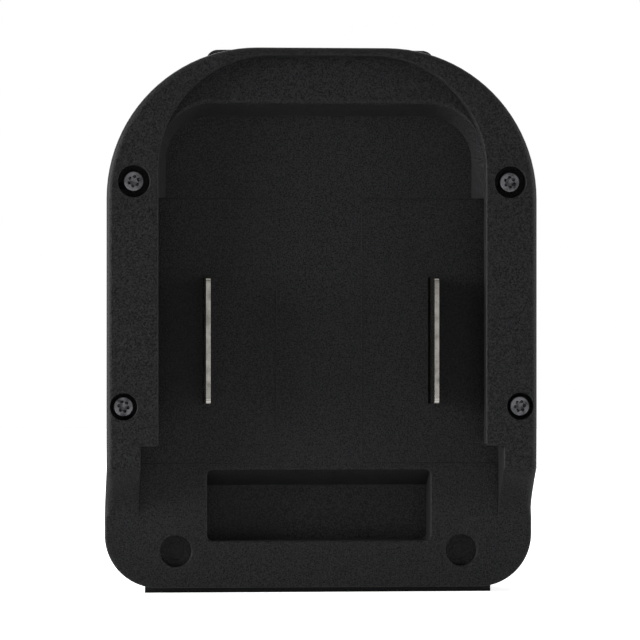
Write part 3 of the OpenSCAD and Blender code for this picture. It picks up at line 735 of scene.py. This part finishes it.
def seat_radius(z):
    """Radius of the seat of a case screw at a height, in millimetres."""
    return UPPER_SEAT_R if z > MIDDLE_Z else LOWER_SEAT_R


def front_depth(z):
    """Depth of the outer front edge at a height: on the rim, the ramps or the bottom plate."""
    if z >= LEG_Z:
        return 0.0
    share = min(1.0, (LEG_Z - z) / RAMP_H)
    return LEG_STEP + (FLOOR_D - LEG_STEP) * math.sin(math.pi / 2 * share ** RAMP_EASE)


def arc(x, z, radius, first, last, hollow, steps=24):
    """Points and normals into the material along an arc: hollow round a hole, or round a solid corner."""
    side = 1 if hollow else -1
    points = []
    for i in range(steps + 1):
        a = math.radians(first + (last - first) * i / steps)
        points.append((x + radius * math.cos(a), z + radius * math.sin(a),
                       side * math.cos(a), side * math.sin(a)))
    return points


def with_mirror(right):
    """A path over the right half, carried on over the left half."""
    return right + [(-x, z, -nx, nz) for x, z, nx, nz in reversed(right)]


def ramp_heights():
    """Heights of the rows of a ramp, from its foot up to both sides of the step at its top."""
    rows = [LEG_Z - RAMP_H * i / RAMP_ROWS for i in range(RAMP_ROWS, 0, -1)]
    return rows + [LEG_Z - STEP_ROW, LEG_Z + STEP_ROW, LEG_Z + RIM_ROW]


def blend(value, low, high):
    """Rises smoothly from 0 at low to 1 at high."""
    share = min(1.0, max(0.0, (value - low) / (high - low)))
    return share * share * (3 - 2 * share)


def rim_path():
    """Outer edge of the rim, the ramps and the bottom plate."""
    edges = bpy.context.scene.adapter_edges
    low = arc(BODY_HALF - BOTTOM_CORNER_R, BODY_FOOT + BOTTOM_CORNER_R, BOTTOM_CORNER_R, -90, 0, False)
    side = [(BODY_HALF, z, -1, 0) for z in ramp_heights()]
    high = arc(BODY_HALF - TOP_ARC_R, BODY_TOP - TOP_ARC_R, TOP_ARC_R, 0, 90, False)
    path = []
    for x, z, nx, nz in with_mirror(low + side + high):
        ramp_share = blend(z, RAMP_FOOT_Z, RAMP_FOOT_Z + RADIUS_BLEND)
        on_ramp = edges.plate + (edges.ramp - edges.plate) * ramp_share
        radius = on_ramp + (edges.rim - on_ramp) * blend(z, LEG_Z - RADIUS_BLEND, LEG_Z)
        path.append(EdgePoint(x, z, nx, nz, front_depth(z), radius / MM, 0.0))
    return path


def bay_path():
    """Inner edge of the rim round the bay, the ends of the rail lips and the inner edges of the ramps."""
    edges = bpy.context.scene.adapter_edges
    root, tip = edges.lip_root / MM, edges.lip / MM
    ramp = [(MOUTH_HALF, z, 1, 0) for z in ramp_heights() if front_depth(z) < FLOOR_D - RAMP_END]
    right = ramp + arc(MOUTH_HALF - root, MOUTH_Z - root, root, 0, 90, True, CORNER_STEPS)
    right += arc(BAY_HALF + tip, MOUTH_Z + tip, tip, 270, 180, False, CORNER_STEPS)
    right += arc(BAY_HALF - BAY_ARC_R, BAY_TOP - BAY_ARC_R, BAY_ARC_R, 0, 90, True)
    path = []
    for x, z, nx, nz in with_mirror(right):
        depth = front_depth(z)
        radius = min(edges.bay / MM, RAMP_SHARE * (FLOOR_D - depth))
        path.append(EdgePoint(x, z, nx, nz, depth, radius, 0.0))
    return path


def shelf_path():
    """Front edge of the crescent shelf, whose rounding dies out where the shelf does."""
    largest = bpy.context.scene.adapter_edges.shelf / MM
    right = arc(BAY_HALF - POCKET_ARC_R, POCKET_TOP - POCKET_ARC_R, POCKET_ARC_R, SHELF_FROM, 90, True)
    path = []
    for x, z, nx, nz in with_mirror(right):
        place = Place(x, SHELF_D, z, abs(x), 0.0, True)
        lean = END_WALL_LEAN - (END_WALL_LEAN - SIDE_WALL_LEAN) * abs(nx)
        radius = min(largest, max(SMALLEST, SHELF_SHARE * shelf_width(place)))
        path.append(EdgePoint(x, z, nx, nz, SHELF_D, radius, lean / (FLOOR_D - SHELF_D)))
    return path


def recess_path():
    """Mouth of the latch recess, whose upper wall leans."""
    radius = bpy.context.scene.adapter_edges.recess / MM
    low, high = RECESS_Z
    right = arc(RECESS_HALF - RECESS_R, low + RECESS_R, RECESS_R, -90, 0, True, CORNER_STEPS)
    right += arc(RECESS_HALF - RECESS_R, high - RECESS_R, RECESS_R, 0, 90, True, CORNER_STEPS)
    return [
        EdgePoint(x, z, nx, nz, FLOOR_D, radius, RECESS_LEAN * max(0.0, nz))
        for x, z, nx, nz in with_mirror(right)
    ]


def hole_path(x, z, hole_r, depth):
    """Mouth of a round hole."""
    radius = bpy.context.scene.adapter_edges.hole / MM
    last = 360 - 360 / HOLE_SIDES
    points = arc(x, z, hole_r, 0, last, True, HOLE_SIDES - 1)
    return [EdgePoint(*point, depth, radius, 0.0) for point in points]


def block_path():
    """Front edge of the block behind the top of the rim, at the right, where it stands clear of the rim."""
    largest = bpy.context.scene.adapter_edges.block / MM
    right = [(BLOCK_HALF, z, -1, 0) for z in BLOCK_SIDE_ZS]
    right += arc(BLOCK_HALF - BLOCK_R, BLOCK_TOP - BLOCK_R, BLOCK_R, BLOCK_FROM, 90, False)
    right += [(x, BLOCK_TOP, 0, -1) for x in BLOCK_TOP_XS]
    path = []
    for x, z, nx, nz in right:
        proud = -outline_gap(Place(x, BLOCK_D, z, abs(x), 0.0, True))
        radius = min(largest, max(SMALLEST, BLOCK_SHARE * proud))
        path.append(EdgePoint(x, z, nx, nz, BLOCK_D, radius, 0.0))
    return path


def edge_section(point):
    """Corners of what is cut off a sharp edge to round it, as steps in from the wall and below the face."""
    radius, lean = point.radius, point.lean
    centre = radius * (math.hypot(1, lean) - lean)
    end = math.degrees(math.atan2(1, lean)) - ARC_SLACK
    angles = [math.radians(ARC_SLACK + (end - ARC_SLACK) * i / ARC_STEPS) for i in range(ARC_STEPS + 1)]
    section = [(centre - radius * math.sin(a), radius * (1 - math.cos(a))) for a in angles]
    reach = RUN_ON * radius
    first, last = angles[0], angles[-1]
    before = (section[0][0] + reach * math.cos(first), section[0][1] - reach * math.sin(first))
    after = (section[-1][0] - reach * math.cos(last), section[-1][1] + reach * math.sin(last))
    outside = (after[0] - reach, before[1] - reach)
    return [before, *section, after, outside]


def edge_cutter(path, closed, facing=1):
    """A closed mesh that rounds the sharp edge along a path when it is cut away.

    The face at the edge faces the battery, or with facing -1 the tool.
    """
    points = []
    for point in path:
        for step, below in edge_section(point):
            x, z = point.x + step * point.nx, point.z + step * point.nz
            points.append(at(x, point.depth + facing * below, z))
    count = len(points) // len(path)
    rows = len(path) if closed else len(path) - 1
    faces = []
    for row in range(rows):
        here, there = row * count, (row + 1) % len(path) * count
        for i in range(count):
            j = (i + 1) % count
            faces.append((here + i, here + j, there + j, there + i))
    if not closed:
        faces.append(tuple(range(count)))
        faces.append(tuple(range(len(points) - count, len(points))))
    mesh = bpy.data.meshes.new("edge_cutter")
    mesh.from_pydata(points, [], faces)
    cutter = bpy.data.objects.new("edge_cutter", mesh)
    bpy.context.scene.collection.objects.link(cutter)
    edit_all(cutter)
    bpy.ops.mesh.normals_make_consistent(inside=False)
    bpy.ops.object.mode_set(mode='OBJECT')
    return cutter


def battery_shell_radius(place):
    """Radius of the few edges of the battery-side shell that are rounded before its mouths are cut."""
    edges = bpy.context.scene.adapter_edges
    at_lip = place.deep > LIP_D - NEAR and place.d < LIP_D and abs(place.z - MOUTH_Z) < NEAR
    if at_lip:
        return edges.lip if place.convex else edges.lip_root
    if abs(place.d - SEAM_D) < NEAR and outline_gap(place) < SEAM_SLACK:
        return edges.seam
    return 0.0


class ADAPTER_OT_battery_shell(bpy.types.Operator):
    """Models the battery-side shell from its CAD node, with rounded edges and witness lines"""
    bl_idname = "adapter.battery_shell"
    bl_label = "Battery-Side Shell"

    def execute(self, context):
        piece = start_from("battery_side_shell", "battery_shell_moulding")
        round_edges(piece, battery_shell_radius)
        mouths = [(rim_path(), True), (bay_path(), False), (shelf_path(), False), (recess_path(), True)]
        mouths += [(hole_path(x, z, seat_radius(z), 0.0), True) for x, z in SCREWS]
        mouths += [(hole_path(side * POST_X, POST_Z, POST_SEAT_R, FLOOR_D), True) for side in (-1, 1)]
        block = block_path()
        mouths += [(block, False), (flipped(block), False)]
        for path, closed in mouths:
            combine(piece, edge_cutter(path, closed), 'DIFFERENCE')
        witness = context.scene.adapter_fittings.witness
        for side in (-1, 1):
            points = [at(side * x, FLOOR_D + WITNESS_SUNK, z) for x, z in WITNESS]
            combine(piece, swept_wire("witness_line", points, witness), 'UNION')
        smooth(piece)
        finish_piece(piece, "adapter", "shell", "battery_side_shell")
        return {'FINISHED'}


def panel_path():
    """Outer edge of the tool-side panel at the right, between the latch housing and the deck's neck."""
    largest = bpy.context.scene.adapter_edges.panel / MM
    corner_x, corner_z = BODY_HALF - BOTTOM_CORNER_R, BODY_FOOT + BOTTOM_CORNER_R
    right = arc(corner_x, corner_z, BOTTOM_CORNER_R, PANEL_FROM, 0, False)
    right += [(BODY_HALF, z, -1, 0) for z in ramp_heights()]
    right += arc(BODY_HALF - TOP_ARC_R, BODY_TOP - TOP_ARC_R, TOP_ARC_R, 0, PANEL_TO, False)
    path = []
    for x, z, nx, nz in right:
        drawn_in = WALL_TAPER * (PANEL_D - front_depth(z))
        x += drawn_in * nx
        z += drawn_in * nz
        clear = x - FOOT_HALF
        if z >= MIDDLE_Z:
            clear = math.hypot(x - NECK_ARC_X, max(0.0, z - NECK_ARC_Z)) - NECK_R
        path.append(EdgePoint(x, z, nx, nz, PANEL_D, min(largest, PANEL_SHARE * clear), WALL_TAPER))
    return path


def deck_path():
    """Outer edge of the tool deck."""
    radius = bpy.context.scene.adapter_edges.deck / MM
    right = [(DECK_HALF, DECK_FOOT, -1, 1)]
    right += arc(DECK_HALF - DECK_R, DECK_TOP - DECK_R, DECK_R, 0, 90, False)
    return [EdgePoint(*point, DECK_D, radius, 0.0) for point in with_mirror(right)]


def house_path():
    """Outer edge of the latch housing, from one side of the deck round to the other."""
    largest = bpy.context.scene.adapter_edges.house / MM
    right = arc(HOUSE_HALF - HOUSE_R, HOUSE_TOP - HOUSE_R, HOUSE_R, HOUSE_FROM, 0, False, CORNER_STEPS)
    right += [(HOUSE_HALF, 0.0, -1, 1)]
    path = []
    for x, z, nx, nz in with_mirror(right):
        radius = min(largest, PANEL_SHARE * (abs(x) - DECK_HALF))
        path.append(EdgePoint(x, z, nx, nz, HOUSE_D, radius, FOOT_TAPER))
    return path


def box_path(half, low, high, depth, radius, hollow):
    """Edge of a window or of a raised block with square corners."""
    side = 1 if hollow else -1
    right = [(half, low, side, -side), (half, high, side, side)]
    return [EdgePoint(*point, depth, radius / MM, 0.0) for point in with_mirror(right)]


def slot_path(x):
    """Edge of a contact slot of the deck, which is open at the top."""
    radius = bpy.context.scene.adapter_edges.window / MM
    left, right = x - SLOT_HALF, x + SLOT_HALF
    corners = [
        (left, SLOT_END, -1, 0), (left, SLOT_FOOT, -1, -1),
        (right, SLOT_FOOT, 1, -1), (right, SLOT_END, 1, 0),
    ]
    return [EdgePoint(*corner, DECK_D, radius, 0.0) for corner in corners]


def flipped(path):
    """The same edge on the other side of the middle."""
    return [point._replace(x=-point.x, nx=-point.nx) for point in path]


def tool_shell_radius(place):
    """Radius of the edges of the tool-side shell that are rounded before its outer edges are cut."""
    at_seam = abs(place.d - SEAM_D) < 2 * NEAR and outline_gap(place) < SEAM_SLACK
    return bpy.context.scene.adapter_edges.seam if at_seam else 0.0


class ADAPTER_OT_tool_shell(bpy.types.Operator):
    """Models the tool-side shell from its CAD node, with rounded edges"""
    bl_idname = "adapter.tool_shell"
    bl_label = "Tool-Side Shell"

    def execute(self, context):
        window = context.scene.adapter_edges.window
        piece = start_from("tool_side_shell", "tool_shell_moulding")
        round_edges(piece, tool_shell_radius)
        panel = panel_path()
        outlines = [(panel, False), (flipped(panel), False), (deck_path(), True), (house_path(), False)]
        outlines += [(box_path(*box, HOUSE_D, window, True), True) for box in (PAD_WINDOW, CATCH_WINDOW)]
        outlines += [(slot_path(side * x), False) for x in SLOT_XS for side in (-1, 1)]
        for path, closed in outlines:
            combine(piece, edge_cutter(path, closed, -1), 'DIFFERENCE')
        smooth(piece)
        finish_piece(piece, "adapter", "shell", "tool_side_shell")
        return {'FINISHED'}


def cone_ended(top, radius, depth, cone):
    """Profile of a round cut from above a screw's head down to its depth, ended by a cone."""
    end = top + depth
    return [(top - CUT_ABOVE, radius), (end, radius), (end + cone, CONE_TIP_R)]


def make_screw():
    """One case screw at the origin of X and Z: a domed head with a six-lobe socket on a plain shank."""
    fittings = bpy.context.scene.adapter_fittings
    low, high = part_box("case_screws")
    top, tip = depth_of(low.y), depth_of(high.y)
    seat = top + HEAD_H
    head = (high.x / MM) - max(x for x, z in SCREWS)
    profile = []
    for i in range(DOME_STEPS + 1):
        a = math.pi / 2 * i / DOME_STEPS
        profile.append((top + DOME_H * (1 - math.cos(a)), head - DOME_W * (1 - math.sin(a))))
    profile += [(seat, head), (seat, SHANK_R), (tip - POINT_H, SHANK_R), (tip, POINT_R)]
    piece = turned("screw_blank", 0, 0, profile)
    depth, reach = fittings.socket_depth / MM, fittings.socket_r / MM
    socket = cone_ended(top, reach, depth, SOCKET_CONE_H)
    combine(piece, turned("socket", 0, 0, socket, SOCKET_SIDES), 'DIFFERENCE')
    lobe = cone_ended(top, fittings.lobe_r / MM, depth, LOBE_CONE_H)
    for i in range(LOBES):
        a = 2 * math.pi * i / LOBES
        cut = turned("lobe", reach * math.cos(a), reach * math.sin(a), lobe, LOBE_SIDES)
        combine(piece, cut, 'DIFFERENCE')
    return piece


class ADAPTER_OT_case_screws(bpy.types.Operator):
    """Models one case screw and sets its copies into the four seats, each turned by its own angle"""
    bl_idname = "adapter.case_screws"
    bl_label = "Case Screws"

    def execute(self, context):
        blank = make_screw()
        copies = []
        for (x, z), turn in zip(SCREWS, SCREW_TURNS):
            copy = blank.copy()
            copy.data = blank.data.copy()
            context.scene.collection.objects.link(copy)
            copy.rotation_euler = (0, math.radians(turn), 0)
            copy.location = (x * MM, 0, z * MM)
            copies.append(copy)
        bpy.data.objects.remove(blank, do_unlink=True)
        make_active(copies[0])
        for copy in copies:
            copy.select_set(True)
        bpy.ops.object.transform_apply(location=True, rotation=True, scale=True)
        bpy.ops.object.join()
        piece = context.object
        piece.name = "case_screw_set"
        smooth(piece)
        finish_piece(piece, "adapter", "screw", "case_screws")
        return {'FINISHED'}


def blade_corner_radius(place):
    """Radius of a corner of a contact blade, seen from the side."""
    at_end = place.d < NEAR and not BLADE_ENDS[0] + NEAR < place.z < BLADE_ENDS[1] - NEAR
    return bpy.context.scene.adapter_fittings.blade_corner if at_end else 0.0


def strip_radius(place):
    """Radius of the edges of the strip that the blades are stamped from, where it stands in the bay."""
    return bpy.context.scene.adapter_fittings.blade_edge if place.d < FLOOR_D else 0.0


class ADAPTER_OT_contact_blades(bpy.types.Operator):
    """Models the two contact blades from their CAD nodes, with rounded corners and stamped edges"""
    bl_idname = "adapter.contact_blades"
    bl_label = "Contact Blades"

    def execute(self, context):
        for node, name in (
            ("battery_blade_positive", "positive_blade_strip"),
            ("battery_blade_negative", "negative_blade_strip"),
        ):
            piece = start_from(node, name)
            round_edges(piece, blade_corner_radius, segments=6)
            round_edges(piece, strip_radius, segments=3)
            smooth(piece)
            finish_piece(piece, "adapter", "contact", node)
        return {'FINISHED'}


def latch_radius(place):
    """Radius of an edge of the release latch that is rounded before its pad and ribs are cut."""
    on_catch = place.z > CATCH_WINDOW[1] and place.d > HOUSE_D - NEAR and place.convex
    return bpy.context.scene.adapter_fittings.latch_edge if on_catch else 0.0


class ADAPTER_OT_release_latch(bpy.types.Operator):
    """Models the release latch from its CAD node, with rounded edges"""
    bl_idname = "adapter.release_latch"
    bl_label = "Release Latch"

    def execute(self, context):
        fittings = context.scene.adapter_fittings
        piece = start_from("release_latch", "release_latch_moulding")
        round_edges(piece, latch_radius)
        outlines = [box_path(*PAD, PAD_D, fittings.latch_edge, False)]
        for low in RIB_ZS:
            outlines.append(box_path(RIB_HALF, low, low + RIB_W, RIB_D, fittings.rib_edge, False))
        for path in outlines:
            combine(piece, edge_cutter(path, True, -1), 'DIFFERENCE')
        smooth(piece)
        finish_piece(piece, "latch", "latch", "release_latch")
        return {'FINISHED'}


class ADAPTER_OT_latch_springs(bpy.types.Operator):
    """Winds the two latch springs, with closed end turns, between the recess seats and the latch"""
    bl_idname = "adapter.latch_springs"
    bl_label = "Latch Springs"

    def execute(self, context):
        fittings = context.scene.adapter_fittings
        wire = fittings.spring_wire / MM
        coil_r = (fittings.spring_width / MM - wire) / 2
        first = SPRING_SEAT_D + SPRING_GAP + wire / 2
        last = SPRING_END_D - SPRING_GAP - wire / 2
        closed = wire * CLOSED_PITCH
        free = (last - first - 2 * closed) / fittings.spring_turns
        turns = fittings.spring_turns + 2
        for side, node in ((-1, "latch_spring_left"), (1, "latch_spring_right")):
            points = []
            for i in range(turns * POINTS_PER_TURN + 1):
                turn = i / POINTS_PER_TURN
                rise = closed * min(turn, 1) + free * min(max(turn - 1, 0), turns - 2)
                rise += closed * max(turn - turns + 1, 0)
                a = 2 * math.pi * turn
                x = side * SPRING_X + coil_r * math.cos(a)
                points.append(at(x, first + rise, SPRING_Z + coil_r * math.sin(a)))
            piece = swept_wire(node + "_coil", points, fittings.spring_wire / 2)
            smooth(piece, TUBE_BEND)
            finish_piece(piece, "adapter", "spring", node)
            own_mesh(piece)
        return {'FINISHED'}


class ADAPTER_OT_leads(bpy.types.Operator):
    """Models the two leads from their CAD nodes as smooth round tubes"""
    bl_idname = "adapter.leads"
    bl_label = "Leads"

    def execute(self, context):
        for node, slot in (("lead_positive", "lead_red"), ("lead_negative", "lead_black")):
            piece = start_from(node, node + "_tube")
            smooth(piece, TUBE_BEND)
            finish_piece(piece, "adapter", slot, node)
        return {'FINISHED'}


class ADAPTER_OT_inner_parts(bpy.types.Operator):
    """Gives each CAD node that keeps its shape the finish of its slot"""
    bl_idname = "adapter.inner_parts"
    bl_label = "Inner Parts"

    def execute(self, context):
        for part in frame["record"]["subparts"]:
            node = frame["nodes"][part["node"]]
            for slot in node.material_slots:
                slot.link = 'OBJECT'
                slot.material = material_for(part["material_slot"])
        return {'FINISHED'}


def background_rays(tree):
    """1 for rays that show the background: those of the camera, of reflections and through clear things."""
    path = add(tree, "ShaderNodeLightPath")
    shown = path.outputs["Is Camera Ray"]
    for kind in ("Is Glossy Ray", "Is Transmission Ray"):
        either = add(tree, "ShaderNodeMath", {0: shown, 1: path.outputs[kind]}, operation='MAXIMUM')
        shown = either.outputs["Value"]
    return shown


def make_floor():
    """White paper: it keeps the object's shadow nearby, and further off it is white to be seen."""
    colours = bpy.context.scene.adapter_colours
    bpy.ops.object.select_all(action='DESELECT')
    bpy.ops.mesh.primitive_circle_add(vertices=96, radius=FLOOR_R, fill_type='NGON', location=(0, 0, 0))
    floor = bpy.context.object
    floor.name = "floor"
    material, tree, shader, coords = start_material("white_paper_floor")
    shader.inputs["Base Color"].default_value = colours.paper
    shader.inputs["Roughness"].default_value = 0.9
    distance = add(tree, "ShaderNodeVectorMath", {0: coords}, operation='LENGTH')
    far = add(tree, "ShaderNodeMapRange", {
        "Value": distance.outputs["Value"], "From Min": FLOOR_FADE[0], "From Max": FLOOR_FADE[1],
        "To Min": FLOOR_NEAR, "To Max": 1.0,
    }, interpolation_type='SMOOTHSTEP')
    seen = add(tree, "ShaderNodeMath", {0: far.outputs["Result"], 1: background_rays(tree)},
               operation='MULTIPLY')
    shader.inputs["Emission Color"].default_value = (1, 1, 1, 1)
    tree.links.new(seen.outputs["Value"], shader.inputs["Emission Strength"])
    floor.data.materials.append(material)


def make_world(scene):
    """White surroundings for the camera and for reflections, and a dimmer even light from all round."""
    world = bpy.data.worlds.new("white_surroundings")
    scene.world = world
    world.use_nodes = True
    tree = world.node_tree
    tree.nodes.clear()
    strength = add(tree, "ShaderNodeMapRange", {
        "Value": background_rays(tree), "To Min": scene.adapter_stage.room, "To Max": 1.0,
    })
    sky = add(tree, "ShaderNodeBackground", {"Color": (1, 1, 1, 1), "Strength": strength.outputs["Result"]})
    add(tree, "ShaderNodeOutputWorld", {"Surface": sky.outputs["Background"]})


# Lamps: place, the point each is turned to, and its width and height, in metres
LAMPS = {
    "left": ((-0.6, -0.14, 0.1), (0, 0, 0.045), (0.35, 0.35)),
    "right": ((0.6, -0.14, 0.1), (0, 0, 0.045), (0.35, 0.35)),
    "overhead": ((0, 0.05, 0.75), (0, 0.05, 0), (0.6, 0.6)),
    "back": ((0, 0.7, 0.5), (0, 0, 0.045), (0.6, 0.4)),
    "card": ((0, -0.055, 0.001), (0, -0.055, 1), (0.12, 0.05)),
}


def make_lamps(scene):
    """Softboxes round the object, and a card in front that throws light up into ramps and recess."""
    for name, (place, target, size) in LAMPS.items():
        lamp = bpy.data.lights.new(name + "_light", 'AREA')
        lamp.shape = 'RECTANGLE'
        lamp.size, lamp.size_y = size
        lamp.energy = getattr(scene.adapter_stage, name)
        stand = bpy.data.objects.new(name + "_light", lamp)
        stand.location = place
        stand.rotation_euler = (Vector(target) - stand.location).to_track_quat('-Z', 'Y').to_euler()
        stand.visible_camera = False
        scene.collection.objects.link(stand)


def make_camera(scene):
    """A long lens in front of the bay, a little to its left."""
    stage = scene.adapter_stage
    lens = bpy.data.cameras.new("camera")
    lens.sensor_width = 36.0
    lens.sensor_fit = 'HORIZONTAL'
    lens.angle = stage.view_angle
    lens.clip_start = 0.01
    camera = bpy.data.objects.new("camera", lens)
    camera.location = (-stage.camera_side, RIM_Y - stage.camera_back, stage.camera_height)
    target = Vector((-stage.aim_side, RIM_Y, stage.camera_height))
    camera.rotation_euler = (target - camera.location).to_track_quat('-Z', 'Y').to_euler()
    scene.collection.objects.link(camera)
    scene.camera = camera


class ADAPTER_OT_stage(bpy.types.Operator):
    """Sets up the pale floor, the soft lamps, the white surroundings and the camera"""
    bl_idname = "adapter.stage"
    bl_label = "Studio Stage"

    def execute(self, context):
        scene = context.scene
        scene.view_settings.view_transform = 'Standard'
        make_floor()
        make_world(scene)
        make_lamps(scene)
        make_camera(scene)
        return {'FINISHED'}


OPERATORS = (
    ADAPTER_OT_battery_shell, ADAPTER_OT_tool_shell, ADAPTER_OT_case_screws, ADAPTER_OT_contact_blades,
    ADAPTER_OT_release_latch, ADAPTER_OT_latch_springs, ADAPTER_OT_leads, ADAPTER_OT_inner_parts,
    ADAPTER_OT_stage,
)
SETTINGS = {
    "adapter_edges": AdapterEdges,
    "adapter_fittings": AdapterFittings,
    "adapter_colours": AdapterColours,
    "adapter_stage": AdapterStage,
}


class ADAPTER_PT_panel(bpy.types.Panel):
    """Lists the steps that make the adapter and the sizes and colours that they use"""
    bl_idname = "ADAPTER_PT_panel"
    bl_label = "Tool Battery Adapter"
    bl_space_type = 'VIEW_3D'
    bl_region_type = 'UI'
    bl_category = "Adapter"

    def draw(self, context):
        for operator in OPERATORS:
            self.layout.operator(operator.bl_idname)
        for name, group in SETTINGS.items():
            box = self.layout.box()
            box.label(text=group.__doc__)
            for prop in group.__annotations__:
                box.prop(getattr(context.scene, name), prop)


def register():
    for cls in (*SETTINGS.values(), *OPERATORS, ADAPTER_PT_panel):
        bpy.utils.register_class(cls)
    for name, group in SETTINGS.items():
        setattr(bpy.types.Scene, name, bpy.props.PointerProperty(type=group))


def unregister():
    for name in SETTINGS:
        delattr(bpy.types.Scene, name)
    for cls in reversed((*SETTINGS.values(), *OPERATORS, ADAPTER_PT_panel)):
        bpy.utils.unregister_class(cls)


def main():
    """Makes the whole adapter and its stage."""
    register()
    bpy.ops.adapter.battery_shell()
    bpy.ops.adapter.tool_shell()
    bpy.ops.adapter.case_screws()
    bpy.ops.adapter.contact_blades()
    bpy.ops.adapter.release_latch()
    bpy.ops.adapter.latch_springs()
    bpy.ops.adapter.leads()
    bpy.ops.adapter.inner_parts()
    bpy.ops.adapter.stage()


if __name__ == "__main__":
    main()
